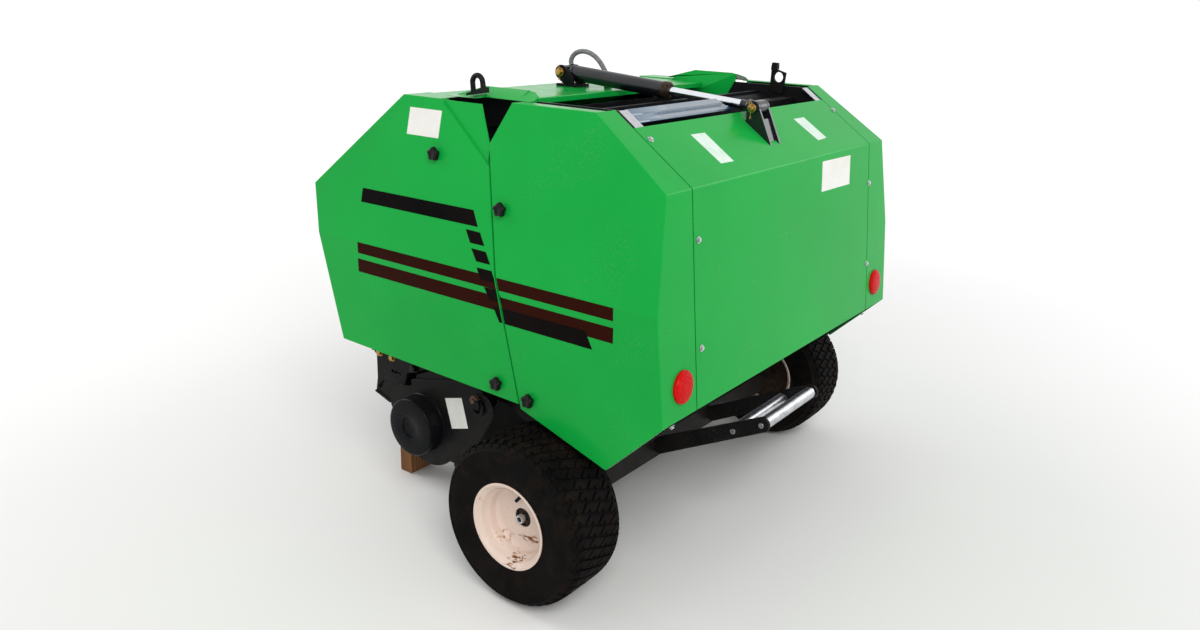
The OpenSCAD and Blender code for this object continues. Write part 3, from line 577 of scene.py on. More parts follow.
def mix_cast_grey(r):
    grain = r.noise(260, 4, 0.6)
    return {**painted(r, (0.016, 0.017, 0.019), 0.5, (0.2, 0.19, 0.18), 0.3, 0.2, 0.8, 0.3, 0.2),
            "Normal": r.bump(grain, 0.0008, 0.6), "Specular IOR Level": 0.25}


# Rust on the left rim: each spot's place with y from the axle, and how fast it fades along each axis, per metre
RUST_SPOTS = [((0.723, 0.026, 0.178), (30, 20, 44)), ((0.723, 0.048, 0.176), (30, 46, 62)),
              ((0.760, 0.011, 0.132), (22, 30, 60)), ((0.768, 0.034, 0.140), (30, 60, 80)),
              ((0.783, 0.006, 0.119), (60, 36, 90)), ((0.785, 0.027, 0.122), (60, 70, 90))]


def rust_spots(r):
    """A mask of the rust spots, ragged by noise and drawn out to streaks."""
    place = r.add("VectorMath", {0: r.place(), 1: (0, -AXLE_Y, 0)}, operation="ADD").outputs[0]
    ragged = r.limits(r.noise(130, 6, 0.72, r.stretched((1.0, 0.35, 1.0), (0.5, 0, 0))), 0.25, 0.75, -1.0, 1.0)
    mask = 0.0
    for centre, reach in RUST_SPOTS:
        apart = r.add("VectorMath", {0: place, 1: centre}, operation="SUBTRACT").outputs[0]
        scaled = r.add("VectorMath", {0: apart, 1: reach}, operation="MULTIPLY").outputs[0]
        away = r.add("VectorMath", {0: scaled}, operation="LENGTH").outputs["Value"]
        spot = r.limits(r.sum("ADD", away, ragged), 0.45, 0.15)
        mask = spot if mask == 0.0 else r.sum("MAXIMUM", mask, spot)
    return mask


def mix_rim_cream(r):
    place = r.place()
    around = r.noise(11, 8, 0.68, place)
    bubbles = r.noise(85, 5, 0.6, place)
    flaking = r.sum("MULTIPLY", around, r.sum("ADD", bubbles, 0.32))
    chip = r.limits(flaking, 0.60, 0.625)
    halo = r.limits(flaking, 0.52, 0.62)
    dots = r.limits(r.noise(230, 2, 0.5), 0.735, 0.75)
    rust = r.blend(r.limits(r.noise(300, 4), 0.35, 0.65), (0.10, 0.030, 0.008), (0.30, 0.11, 0.03))
    grime = r.limits(r.noise(4.5, 4, 0.6), 0.40, 0.80, 0.0, 0.35)
    tone = r.blend(grime, colours().rim_cream, (0.50, 0.34, 0.22))
    tone = r.blend(r.sum("MULTIPLY", halo, 0.65), tone, (0.42, 0.20, 0.08))
    mask = r.sum("MAXIMUM", r.sum("MAXIMUM", chip, dots), rust_spots(r))
    edge = worn_edges(r, 0.0015, 55, 0.42)
    return {"Base Color": r.blend(r.sum("MAXIMUM", mask, edge), tone, rust),
            "Roughness": r.limits(mask, 0, 1, 0.36, 0.85),
            "Normal": r.bump(r.sum("SUBTRACT", r.sum("MULTIPLY", bubbles, 0.15), mask), 0.0005, 0.6),
            "Specular IOR Level": 0.35}


def mix_rubber(r):
    dirt = r.limits(r.noise(26, 6, 0.65), 0.46, 0.72)
    high = dust(r, 0.35, 0.55)
    grain = r.noise(520, 3, 0.6)
    lines = r.noise(9, 3, 0.5)
    tone = r.blend(r.limits(lines, 0.3, 0.7), colours().rubber, (0.0062, 0.0058, 0.0058))
    return {"Base Color": r.blend(r.sum("MULTIPLY", r.sum("MAXIMUM", dirt, high), 0.07), tone, (0.13, 0.075, 0.045)),
            "Roughness": r.limits(dirt, 0, 1, 0.55, 0.8), "Normal": r.bump(grain, 0.0005, 0.5),
            "Specular IOR Level": 0.022}


def mix_hose(r):
    uv = r.add("UVMap").outputs["UV"]
    weave = []
    for tilt in (0.78, -0.78):
        way = r.add("Mapping", {"Vector": uv, "Scale": (90.0, 7.0, 1.0), "Rotation": (0, 0, tilt)}).outputs[0]
        weave.append(r.add("TexWave", {"Vector": way, "Scale": 1.1, "Distortion": 0.3}).outputs["Fac"])
    net = r.sum("MAXIMUM", weave[0], weave[1])
    soil = r.limits(r.noise(60, 5), 0.4, 0.7)
    tone = r.blend(net, (0.03, 0.03, 0.032), (0.26, 0.27, 0.28))
    return {"Base Color": r.blend(r.sum("MULTIPLY", soil, 0.4), tone, (0.10, 0.08, 0.06)),
            "Roughness": r.limits(net, 0, 1, 0.7, 0.42), "Normal": r.bump(net, 0.0006, 0.8)}


def mix_timber(r):
    grain = r.noise(55, 6, 0.62, r.stretched((1.0, 1.0, 0.05)))
    rings = r.add("TexWave", {"Vector": r.stretched((1.0, 0.6, 0.08)), "Scale": 26.0, "Distortion": 5.0,
                              "Detail": 3.0}).outputs["Fac"]
    tone = r.blend(grain, colours().timber, (0.075, 0.034, 0.014))
    tone = r.blend(r.sum("MULTIPLY", rings, 0.5), tone, (0.34, 0.17, 0.060))
    return {"Base Color": tone, "Roughness": 0.85,
            "Normal": r.bump(r.sum("ADD", grain, r.sum("MULTIPLY", rings, 0.4)), 0.002, 0.7)}


def mix_lens_red(r):
    cells = r.add("TexVoronoi", {"Vector": r.place(), "Scale": 260.0}, feature="F1").outputs["Distance"]
    tone = r.blend(cells, colours().lens_red, (0.58, 0.006, 0.006))
    # The faint red emission is a painted glow: a reflector gives no light of its own.
    return {"Base Color": tone, "Roughness": 0.14, "Normal": r.bump(cells, 0.0012, 0.6), "Coat Weight": 0.03,
            "Coat Roughness": 0.03, "Specular IOR Level": 0.05, "Emission Color": (0.8, 0.0, 0.002, 1.0),
            "Emission Strength": 0.02}


def mix_paper(r):
    fibre = r.noise(500, 4, 0.6)
    yellow = r.limits(r.noise(18, 4), 0.35, 0.75, 0.0, 0.5)
    return {"Base Color": r.blend(yellow, (0.80, 0.80, 0.77), (0.66, 0.64, 0.57)), "Roughness": 0.55,
            "Normal": r.bump(fibre, 0.0002, 0.5)}


def mix_tape(r):
    fibre = r.noise(300, 3)
    see = r.limits(r.noise(35, 4), 0.3, 0.75, 0.25, 0.7)
    return {"Base Color": r.blend(see, (0.80, 0.86, 0.82), (0.42, 0.66, 0.50)), "Roughness": 0.3,
            "Normal": r.bump(fibre, 0.0003, 0.4)}


def mix_knob_plastic(r):
    grain = r.noise(900, 2)
    worn = r.limits(r.noise(40, 5), 0.5, 0.8, 0.0, 0.25)
    return {"Base Color": r.blend(worn, (0.005, 0.005, 0.005), (0.04, 0.037, 0.033)),
            "Roughness": r.limits(worn, 0, 0.25, 0.42, 0.6), "Normal": r.bump(grain, 0.0002, 0.5),
            "Specular IOR Level": 0.15}


def mix_greasy_steel(r):
    brown = r.limits(r.noise(70, 5, 0.6), 0.35, 0.7)
    return {"Base Color": r.blend(brown, (0.055, 0.036, 0.026), (0.018, 0.009, 0.006)),
            "Metallic": 0.5, "Specular IOR Level": 0.2, "Roughness": r.limits(brown, 0, 1, 0.35, 0.6),
            "Normal": r.bump(brown, 0.0006, 0.5)}


def mix_rusty_steel(r):
    pits = r.noise(220, 5, 0.65)
    red = r.limits(r.noise(45, 5, 0.6), 0.35, 0.65)
    return {"Base Color": r.blend(red, (0.075, 0.045, 0.035), (0.19, 0.085, 0.05)), "Metallic": 0.15,
            "Roughness": r.limits(pits, 0.3, 0.7, 0.55, 0.85), "Normal": r.bump(pits, 0.0006, 0.7)}


MIXES = {
    "green_enamel": mix_enamel, "plate_black": mix_plate_black, "barrel_black": mix_barrel_black,
    "gloss_black": mix_gloss_black, "smoked_black": mix_black_with_painted_sky, "stripe_black": mix_stripe_black,
    "stripe_red": mix_stripe_red, "chrome": mix_chrome, "bright_zinc": mix_zinc, "brass": mix_brass,
    "roller_steel": mix_dark_steel_and_painted_shade, "cast_grey": mix_cast_grey, "rim_cream": mix_rim_cream,
    "tyre_rubber": mix_rubber, "hose_braid": mix_hose, "rough_timber": mix_timber, "lens_red": mix_lens_red,
    "label_paper": mix_paper, "clear_tape": mix_tape, "knob_plastic": mix_knob_plastic,
    "greasy_steel": mix_greasy_steel, "rusty_steel": mix_rusty_steel,
}


def node_of(tree, kind):
    return next(n for n in tree.nodes if n.type == kind)


def finish(name):
    """The finish of that name, built the first time it is asked for."""
    material = bpy.data.materials.get(name + "_finish")
    if material is None:
        material = bpy.data.materials.new(name + "_finish")
        material.use_nodes = True
        tree = material.node_tree
        shader = node_of(tree, "BSDF_PRINCIPLED")
        shader.location, tree.nodes["Material Output"].location = (4200, 0), (4500, 0)
        fill(shader, MIXES[name](Recipe(tree)))
    return material


# Pieces

SHEETS = ["front_cover_left", "front_cover_right", "rear_cover_left", "rear_cover_right", "rear_panel",
          "front_panel", "front_top_plate", "hinge_guards"]
PLATES = ["side_plate_left", "side_plate_right", "tail_plate_left", "tail_plate_right", "axle_beam", "front_frame",
          "headstock", "mast", "cylinder_post", "lifting_eye", "feed_floor", "tail_beams", "cylinder_lug",
          "pickup_frame", "stripper_bands", "ramp_frame", "gearbox", "top_guard"]
# The top guard's finish has a blue base that is a painted sky reflection.
PLATE_FINISH = {"gearbox": "cast_grey", "top_guard": "smoked_black", "cylinder_lug": "gloss_black"}
# The tine reel takes the rollers' near-black steel as painted shade inside the pickup.
CARRIED = {"roller_steel": ["roller_%d" % i for i in range(1, 13)] + ["tine_reel"],
           "bright_zinc": ["pto_shaft"]}


class PieceOperator(bpy.types.Operator):
    bl_options = {"REGISTER", "UNDO"}

    def execute(self, context):
        self.make()
        return {"FINISHED"}


def lipped(p):
    """The top plate's rear lip, raised to its place."""
    return p + Vector((0, 0, 0.010)) if p.y < AXLE_Y - 0.242 and p.z < 1.258 else p


# The hinge guards' walls, the foot of their slopes, and their front end and fold as y from the axle
GUARD_WALL_X, GUARD_LOW_Z, GUARD_FRONT_Y, GUARD_FOLD_Y, GUARD_REAR_Y = 0.525, 1.2825, -0.430, -0.250, -0.170
OUTER_EDGE_FRONT, OUTER_EDGE_REAR = 0.060, 0.036


def drawn_down(p):
    """A hinge guard's fold moved forwards and its outer edge lowered."""
    reach, high = abs(p.x) - GUARD_WALL_X, p.z - GUARD_LOW_Z
    if p.z > 1.262 and reach < 0.020:
        y = p.y - AXLE_Y
        if y < GUARD_FOLD_Y:
            y = GUARD_FRONT_Y + (y - GUARD_FRONT_Y) * 0.655
        elif y < GUARD_REAR_Y:
            y = -0.312 + (y - GUARD_FOLD_Y) * 1.90
        p = Vector((p.x, AXLE_Y + y, p.z))
    if reach > 0 and high > 0:
        edge = OUTER_EDGE_REAR if p.y > AXLE_Y - 0.279 else OUTER_EDGE_FRONT
        p = p - Vector((0, 0, high * min(1.0, reach / edge)))
    return p


class BALER_OT_sheets(PieceOperator):
    """Green covers, panels and guards with rounded folds"""
    bl_idname = "baler.sheets"
    bl_label = "Covers and panels"

    def make(self):
        for node in SHEETS:
            piece = bent_copy(node, "_sheet", "green_enamel", sizes().fold_radius, 0.0005)
            if node == "hinge_guards":
                self.draw_down(piece)
            elif node == "front_top_plate":
                move_points(piece, lipped)

    def draw_down(self, piece):
        """Shapes both hinge guards and blackens the outer side of their walls."""
        move_points(piece, drawn_down)
        piece.data.materials.append(finish("plate_black"))
        for face in piece.data.polygons:
            side = 1 if face.center.x > 0 else -1
            if face.normal.x * side > 0.9 and abs(face.center.x) < 0.53:
                face.material_index = 1


def guard_shape(p):
    """The top guard's place: its front fold at the slope's top, its ends cut back."""
    if p.y < AXLE_Y + 0.100:
        p.y += 0.031
    elif p.y > AXLE_Y + 0.159:
        p += Vector((0, -0.0094, 0.0066))
    if p.x > 0.49:
        p.x -= 0.018
    elif p.x < 0.05:
        p.x = 0.058 - min(0.046, max(0.0, p.y - AXLE_Y - 0.118))
    return p


def narrowed(p):
    """The cylinder's post, drawn in at its foot and against the barrel."""
    if p.z < 1.279 and abs(p.x) < 0.0395:
        p.y += 0.012 if p.y < AXLE_Y - 0.44 else -0.020
    if 0.0285 < abs(p.x) < 0.053:
        p.x = math.copysign(0.0265 + (abs(p.x) - 0.029) * 0.8, p.x)
    return p


def trimmed_strip(p):
    """The bent strip at the foot of a fixed side plate, drawn in to its width."""
    if abs(p.x) > 0.516 and p.z < 0.32 and p.y < AXLE_Y - 0.74:
        p.x = math.copysign(0.519, p.x)
    return p


def grounded(p):
    """The lifting eye's foot and legs, drawn down to its guard."""
    return p - Vector((0, 0, 0.009)) if p.z < 1.309 else p


def footed(p):
    """The cylinder lug's ears, drawn out to the ends of the panel's slots."""
    if p.y > AXLE_Y + 0.250 and p.z > 1.150:
        p += Vector((0, 0.0155, -0.0060))
    return p


PLATE_RULES = {"top_guard": guard_shape, "cylinder_post": narrowed, "side_plate_left": trimmed_strip,
               "side_plate_right": trimmed_strip, "lifting_eye": grounded, "cylinder_lug": footed}


class BALER_OT_plates(PieceOperator):
    """Black plates, beams and arms with eased edges"""
    bl_idname = "baler.plates"
    bl_label = "Plates and beams"

    def make(self):
        for node in PLATES:
            piece = bent_copy(node, "_eased", PLATE_FINISH.get(node, "plate_black"))
            if node in PLATE_RULES:
                move_points(piece, PLATE_RULES[node])
        for material, nodes in CARRIED.items():
            for node in nodes:
                NODES[node].data.materials.clear()
                NODES[node].data.materials.append(finish(material))


# Stripes

# The seam's y from the axle at a height, its lean, and how far the stripes stay off it
SEAM_Y, SEAM_Z, SEAM_LEAN, SEAM_MARGIN = -0.133, 0.85, 0.235, 0.0045


def clipped(points, depth):
    """The part of a flat polygon where depth(point) is positive."""
    kept = []
    for here, there in zip(points, points[1:] + points[:1]):
        a, b = depth(here), depth(there)
        if a >= 0:
            kept.append(here)
        if a * b < 0:
            t = a / (a - b)
            kept.append(tuple(h + t * (k - h) for h, k in zip(here, there)))
    return kept


def behind_seam(point):
    """How far a point of a side cover lies behind the seam between the fixed part and the tailgate."""
    y, z = point
    return y - (AXLE_Y + SEAM_Y + SEAM_LEAN * (SEAM_Z - z))


# Each stripe's corners on a side cover, as y from the axle and z in millimetres
STRIPES = {
    "stripe_black": [
        [(-671, 964), (-212, 965), (-234, 1005), (-670, 1003)],
        [(-232, 921), (-182, 921), (-202, 952), (-253, 953)],
        [(-203, 878), (-154, 878), (-174, 907), (-226, 908)],
        [(-182, 835), (-130, 834), (-146, 863), (-199, 863)],
        [(-152, 785), (-103, 787), (-126, 817), (-172, 816)],
        [(-120, 731), (182, 731), (160, 774), (-142, 771)],
    ],
    "stripe_red": [
        [(-671, 817), (242, 817), (242, 849.4), (-671, 849.4)],
        [(-673, 761), (243, 761), (243, 800), (-673, 800)],
    ],
}


def cover_film(name, corners, side, lift, thickness):
    """A film on a side cover from its corners' y and z."""
    return flat_plate(name, [Vector((side * cover_x(z), y, z)) for y, z in corners][::side], thickness, lift)


class BALER_OT_stripes(PieceOperator):
    """Black and dark red stripes on both side covers, cut at the seam"""
    bl_idname = "baler.stripes"
    bl_label = "Stripes"

    def make(self):
        thick = sizes().stripe_thickness
        for material, shapes in STRIPES.items():
            lift = thick * (1.2 if material == "stripe_black" else 0.2)
            for body, way, end in ((FRONT, -1, "front"), (REAR, 1, "rear")):
                parts = [cover_film(material, part, side, lift, thick) for side in (1, -1) for shape in shapes
                         for part in self.parts_of(shape, way)]
                hand_over(joined(material, parts), material + "_" + end, material, body)

    def parts_of(self, shape, way):
        """What lies of a stripe on one side of the seam, split at the crease."""
        crease = sizes().crease_height
        corners = clipped([(AXLE_Y + y * MM, z * MM) for y, z in shape], lambda p: way * behind_seam(p) - SEAM_MARGIN)
        if len(corners) < 3:
            return []
        if min(z for y, z in corners) <= crease < max(z for y, z in corners):
            return [clipped(corners, lambda p, s=sign: s * (p[1] - crease)) for sign in (-1, 1)]
        return [corners]


KNOBS = {FRONT: ("front_knobs", [(-391, 1131), (-130, 559)]), REAR: ("rear_knobs", [(-135, 1022), (-19, 541)])}


def knob(centre, side):
    """A five-lobed knob on its spacer: a turned body whose wall is drawn out to lobes."""
    radius = sizes().knob_diameter / 2
    y, z = centre
    cover = cover_x(z)
    seat = max(cover_x(z - radius), cover_x(z + radius)) + 0.0004
    profile = [(0.0, 0.0), (0.55, 0.0), (0.86, 0.0006), (0.97, 0.003), (1.0, 0.006), (1.0, 0.0115), (0.94, 0.0145),
               (0.80, 0.016), (0.42, 0.0162), (0.36, 0.0152), (0.0, 0.0150)]
    body = turned("knob", [(r * radius, h) for r, h in profile], (side * seat, y, z), (side, 0, 0), 60)
    for vertex in body.data.vertices:
        d = Vector((vertex.co.y - y, vertex.co.z - z))
        if d.length > radius * 0.5:
            lobe = 0.5 + 0.5 * math.cos(5 * math.atan2(d.y, d.x) - math.pi / 2)
            d = d * (0.74 + 0.26 * lobe ** 0.7)
            vertex.co.y, vertex.co.z = y + d.x, z + d.y
    spacer = round_bar("spacer", (side * PLATE_OUT, y, z), (side * (cover - 0.0035), y, z), 0.011, 0.0008, 24)
    stem = round_bar("stem", (side * (cover - 0.006), y, z), (side * (seat + 0.001), y, z), 0.009, 0.0005, 20)
    return joined("knob", [body, spacer, stem])


class BALER_OT_knobs(PieceOperator):
    """Five-lobed knobs of the covers with their spacers"""
    bl_idname = "baler.knobs"
    bl_label = "Knobs"

    def make(self):
        for body, (node, places) in KNOBS.items():
            made = [knob((AXLE_Y + y * MM, z * MM), side) for y, z in places for side in (1, -1)]
            hand_over(joined(node, made), node + "_star", "knob_plastic", body, 45, [node])


# Tyres and rims, in millimetres

CROWN_R = 228.5


def carcass_profile(depth):
    """Half of the tyre's outer line as (radius, offset) in millimetres, from the bead to the crown."""
    wall = [(104.5, 84), (107, 91), (112, 95.5), (119, 97.6), (121, 98.9), (124, 99.2), (127, 98.4), (140, 100.8),
            (158, 103.2), (176, 104.6), (192, 104.8), (200, 103.8), (203, 104.1), (205, 105.0), (207, 104.8),
            (208.4, 103.0), (210, 99.4), (213.5, 93)]
    crown = [(223.2, 86), (225.5, 79), (227.4, 68), (228.3, 55), (CROWN_R, 35), (CROWN_R, 12)]
    return wall + [(r - depth * 1000, t) for r, t in crown]


def tread_line(t):
    """Radius of the tread's outer face at an offset from the tyre's middle, in millimetres."""
    line = [(0, CROWN_R), (55, 228.3), (68, 227.4), (79, 225.5), (88, 221.5), (96, 214), (101, 206), (103, 201)]
    t = abs(t)
    for (t0, r0), (t1, r1) in zip(line, line[1:]):
        if t <= t1:
            return r0 + (r1 - r0) * (t - t0) / (t1 - t0)
    return line[-1][1]


def tyre_point(x, radius, arc, middle):
    """A point on the wheel from its offset, its radius and its angle round the axle."""
    return Vector((middle + x * MM, AXLE_Y + radius * MM * math.sin(arc), AXLE_Z + radius * MM * math.cos(arc)))


# A block of the tread, as shares of its width and of the tread's pitch
BLOCK = [(0.07, 0.10), (0.50, 0.14), (0.93, 0.10), (0.925, 0.90), (0.64, 0.92), (0.58, 0.66), (0.50, 0.63),
         (0.42, 0.92), (0.075, 0.89)]
ROW_LEAN = -0.38
TREAD_EDGE, SHOULDER, ROW_WIDTH, ROW_STARTS = (85.5, 88.0), 103.5, 46, (-115, -69, -23, 23)
TREAD_CUTS = (-98, -93, -76, -62, -40, 0, 40, 62, 76, 93, 98)


def tread_outlines(pitch):
    """One pitch of the tread as polygons of (offset across, length round the tyre) in millimetres."""
    shapes = []
    for start in ROW_STARTS:
        shape = []
        for share, way in BLOCK:
            across = start + ROW_WIDTH * share + 0.92 * pitch * way
            shape.append((across, pitch * way + ROW_LEAN * across))
        for side in (-1, 1):
            shape = clipped(shape, lambda p, s=side: TREAD_EDGE[0] - s * p[0])
        shapes.append(shape)
    for side in (-1, 1):
        near, far = side * TREAD_EDGE[1], side * SHOULDER
        foot = ROW_LEAN * near
        lean = 0.5 * (far - near)
        shapes.append([(near, foot + 4.0), (far, foot + 2.2 + lean), (far, foot + pitch - 1.2 + lean),
                       (near, foot + pitch - 3.6)][::side])
    return shapes


def tyre(side):
    """A tyre with its carcass and a ring of tread."""
    s = sizes()
    middle = side * WHEEL_X
    half = carcass_profile(s.tread_depth)
    outer = half + [(r, -t) for r, t in reversed(half)]
    hollow = [(104.5, -62), (150, -88), (196, -86), (211, -62), (213.5, 0), (211, 62), (196, 86), (150, 88),
              (104.5, 62)]
    carcass = spun("tyre", outer + hollow, (middle, AXLE_Y, AXLE_Z), (1, 0, 0), 120)
    pitch = math.tau * CROWN_R / s.tread_pitches
    blocks = [flat_plate("block", [(x * MM, arc * MM, 0) for x, arc in reversed(shape)], s.tread_depth + 0.0015)
              for shape in tread_outlines(pitch)]
    segment = joined("tread", blocks)
    soften(segment, 0.0010, 1, 50)
    enter(segment)
    for across in TREAD_CUTS:
        bpy.ops.mesh.select_all(action="SELECT")
        bpy.ops.mesh.bisect(plane_co=(across * MM, 0, 0), plane_no=(1, 0, 0))
    leave()
    for vertex in segment.data.vertices:
        across, arc, height = vertex.co / MM
        vertex.co = tyre_point(side * across, tread_line(across) + height, arc / CROWN_R, middle)
    close_up(segment, 1e-6)
    ring = [segment]
    there = Matrix.Translation((middle, AXLE_Y, AXLE_Z))
    for step in range(1, s.tread_pitches):
        turn = Matrix.Rotation(step * math.tau / s.tread_pitches, 4, "X")
        ring.append(copy_of(segment, there @ turn @ there.inverted()))
    name = SIDE_NAME[side]
    hand_over(joined("tyre", [carcass, joined("tread", ring)]), "tyre_" + name + "_turf", "tyre_rubber",
              "wheel_" + name, 42, ["tyre_" + name])


RIM_LINE = [(119, 98.5), (118.5, 100.8), (116.5, 101.8), (113.5, 101.2), (110.5, 98.5), (108, 94.2), (104.2, 90.5),
            (101.2, 88), (99.6, 84), (98.6, 76), (95.2, 71.5), (92.8, 66), (91.6, 56), (89.6, 48.5), (85.8, 43.2),
            (79.5, 40.0), (72, 38.8), (46, 38.4), (29, 38.3), (26.6, 37.8), (26, 36.6), (26, 34.8), (27, 33.8),
            (74, 34.4), (84, 37.6), (88, 42.5), (90, 52), (90.4, 64), (93.0, 70), (96.6, 75), (98.0, 83),
            (100.8, 88.5), (102.6, -58), (103.2, -84), (104, -88), (110, -96), (117, -100), (119, -98), (112, -94),
            (106, -86), (104.3, -58), (104.3, 86), (107.6, 91), (112, 95.5)]
HUB_LINE = [(15.7, -86), (24, -86), (25.5, -84.5), (25.5, -51.5), (99, -54), (99, -49), (25.5, -43), (25.5, 15.5),
            (24.4, 17.5), (22.8, 18.0), (22.4, 19.6), (17.2, 19.6), (16.6, 18.2), (15.7, 18.0)]
TIP_LINE = [(12.25, 28), (12.25, 50.6), (11.4, 52.2), (7.6, 52.4), (6.2, 51.4), (5.8, 49.8), (5.8, 37.6), (0, 37.2),
            (0, 28)]
WASHER_LINE = [(12, 26.2), (21.6, 26.2), (22.2, 26.8), (22.2, 28.4), (21.6, 29.0), (12, 29.0)]
VALVE_LINE = [(0, -4), (6.2, -4), (6.6, 1), (5.2, 4), (4.4, 7), (4.2, 13), (4.6, 13.5), (4.6, 19.5), (3.8, 20.5),
              (0, 20.5)]


def rim(side):
    """A wheel's rim with its hub, valve, and the axle's tip and washer."""
    name, wheel = SIDE_NAME[side], "wheel_" + SIDE_NAME[side]
    centre, out = Vector((side * WHEEL_X, AXLE_Y, AXLE_Z)), Vector((side, 0, 0))
    dish = spun("rim", [(r, side * t) for r, t in RIM_LINE], centre, (1, 0, 0), 96)
    hand_over(dish, "rim_" + name + "_dish", "rim_cream", wheel, 50, ["rim_" + name])
    hand_over(spun("hub", HUB_LINE, centre, out, 56), "hub_" + name, "greasy_steel", wheel)
    hand_over(spun("tip", TIP_LINE, centre, out, 40), "axle_tip_" + name, "bright_zinc", FRONT)
    hand_over(spun("washer", WASHER_LINE, centre, out, 40), "axle_washer_" + name, "greasy_steel", FRONT)
    stem = spun("valve", VALVE_LINE, centre + Vector((side * 0.0380, -0.006, 0.0605)),
                Vector((side * 0.60, -0.42, -0.68)), 20)
    hand_over(stem, "valve_" + name, "knob_plastic", wheel)


class BALER_OT_wheels(PieceOperator):
    """Turf tyres with their tread, cream rims, hubs and valves"""
    bl_idname = "baler.wheels"
    bl_label = "Wheels"

    def make(self):
        for side in (1, -1):
            tyre(side)
            rim(side)


# Pickup fittings

def panel_point(x, y, z):
    """A place from millimetres, with y counted from the axle."""
    return Vector((x * MM, AXLE_Y + y * MM, z * MM))


END_X, CHEEK_X, BROW_X, SHADE_BAFFLE_X, SEAT_X = 562, 553.9, 556.2, 553.8, 513.1
REEL_AT, CHEEK_AT, PIVOT_AT, STUB_AT = (-547, 281), (-530, 275), (-313, 395), (-323, 417)
CAP_LINE = [(0, 0), (93.0, 0), (93.0, 2.4), (91.6, 3.6), (90.4, 5.0), (90.0, 9), (89.8, 52.6), (89.0, 55.6),
            (87.2, 57.6), (84.6, 58.4), (34.4, 58.4), (32.6, 57.8), (31.8, 56.0), (31.6, 53.4), (30.4, 52.6), (0, 52.6)]
CHEEK_LINE = [(40, 0), (129, 0), (130, 1), (130, 6.6), (129, 7.6), (40, 7.6)]
BOSS_LINE = [(15.1, 0), (25, 0), (25.4, 1.5), (24.4, 7.6), (22.8, 9.0), (15.1, 9.2)]
STUB_LINE = [(15.3, 0), (15.3, 11.2), (14.2, 12.6), (10.4, 12.8), (9.6, 11.4), (0, 11.2), (0, 0)]
PAD = [(-511, 345), (-482, 365), (-476, 374), (-505, 354)]
BROW = [(-598, 383), (-515, 398), (-417, 410), (-340, 420), (-300, 425), (-300, 448), (-340, 457), (-417, 452.5),
        (-515, 426.5), (-591, 409), (-600, 403)]
# A black plate inside each brow that closes the gap above the pickup: partly painted shade, standing in for the dark of
# shaded parts seen through there.
SHADE_BAFFLE = [(-585, 392), (-515, 398), (-417, 410), (-300, 430), (-300, 470), (-330, 490), (-480, 470), (-580, 425)]
# A thin black sheet across the pickup behind the reel: painted shade that stands in for the shadow there.
SHADE_SHEET = [(-376.8, 397), (-376.8, 364), (-396.8, 202), (-396.8, 164), (-394.8, 164), (-394.8, 202), (-374.8, 364),
          (-374.8, 397)]
PICKUP_LABEL = [(-452, 386), (-425, 295), (-358, 316), (-383, 406)]
# The heads on each side plate: y, z, width over the flats, height, finish and slot
ARM_BOLTS = [(-797, 431, 17, 8, "brass", "zinc_steel"), (-738, 428, 17, 8, "brass", "zinc_steel"),
             (-636, 419, 22, 11, "knob_plastic", "black_plastic")]


def side_sheet(name, x, outline, thickness, side=1):
    """A flat plate across the machine from its outline's y and z, growing outwards."""
    return flat_plate(name, [panel_point(side * x, y, z) for y, z in outline[::side]], thickness)


def on_pickup(piece, name, material="plate_black"):
    hand_over(piece, name, material, "pickup")


class BALER_OT_pickup(PieceOperator):
    """Round caps, pivot bosses, brows, bolts and the blank label of the pickup"""
    bl_idname = "baler.pickup"
    bl_label = "Pickup fittings"

    def make(self):
        for side in (1, -1):
            self.one_side(side)
        # The black sheet behind the reel is painted shade that hides the bright floor.
        on_pickup(side_sheet("shield", -553, SHADE_SHEET, 1.106), "pickup_shield")
        on_pickup(side_sheet("label", END_X + 0.2, PICKUP_LABEL, 0.0003), "pickup_label", "label_paper")

    def one_side(self, side):
        frame_copy, out, name = bpy.data.objects["pickup_frame_eased"], Vector((side, 0, 0)), "_" + SIDE_NAME[side]
        enter(frame_copy)
        pick(frame_copy, "verts", lambda v: side * v.co.x > 0.612)
        bpy.ops.transform.translate(value=(-side * 0.009, 0, 0))
        leave()
        on_pickup(spun("cap", CAP_LINE, panel_point(side * END_X, *REEL_AT), out, 96), "pickup_cap" + name,
                  "barrel_black")
        on_pickup(spun("cheek", CHEEK_LINE, panel_point(side * CHEEK_X, *CHEEK_AT), out, 72), "pickup_cheek" + name)
        on_pickup(spun("boss", BOSS_LINE, panel_point(side * (END_X + 0.1), *PIVOT_AT), out, 48), "pivot_boss" + name)
        seat = panel_point(side * (END_X + 0.1), *STUB_AT)
        stub = spun("stub", STUB_LINE, seat, out, 40)
        bolt = hex_nut("bolt", seat + out * 0.0105, out, 0.013, 0.0065)
        on_pickup(joined("stub", [stub, bolt]), "pivot_stub" + name, "rusty_steel")
        pad = side_sheet("pad", END_X + 0.05, PAD, 0.0035, side)
        soften(pad, 0.0007, 2)
        on_pickup(pad, "pickup_pad" + name)
        brow = side_sheet("brow", BROW_X, BROW, 0.0056, side)
        soften(brow, 0.0008, 1, 50)
        # The plate inside the brow is partly painted shade that closes the gap above the pickup.
        baffle = side_sheet("baffle", SHADE_BAFFLE_X, SHADE_BAFFLE, 0.0026, side)
        on_pickup(joined("brow", [brow, baffle]), "pickup_brow" + name)
        for index, (y, z, flats, tall, material, slot) in enumerate(ARM_BOLTS):
            head = hex_nut("bolt", panel_point(side * SEAT_X, y, z), out, flats * MM, tall * MM,
                           0.5 * flats * MM + 0.004)
            hand_over(head, "arm_bolt%s_%d" % (name, index + 1), material, FRONT)


# Rear panel fittings, with corners as x and z

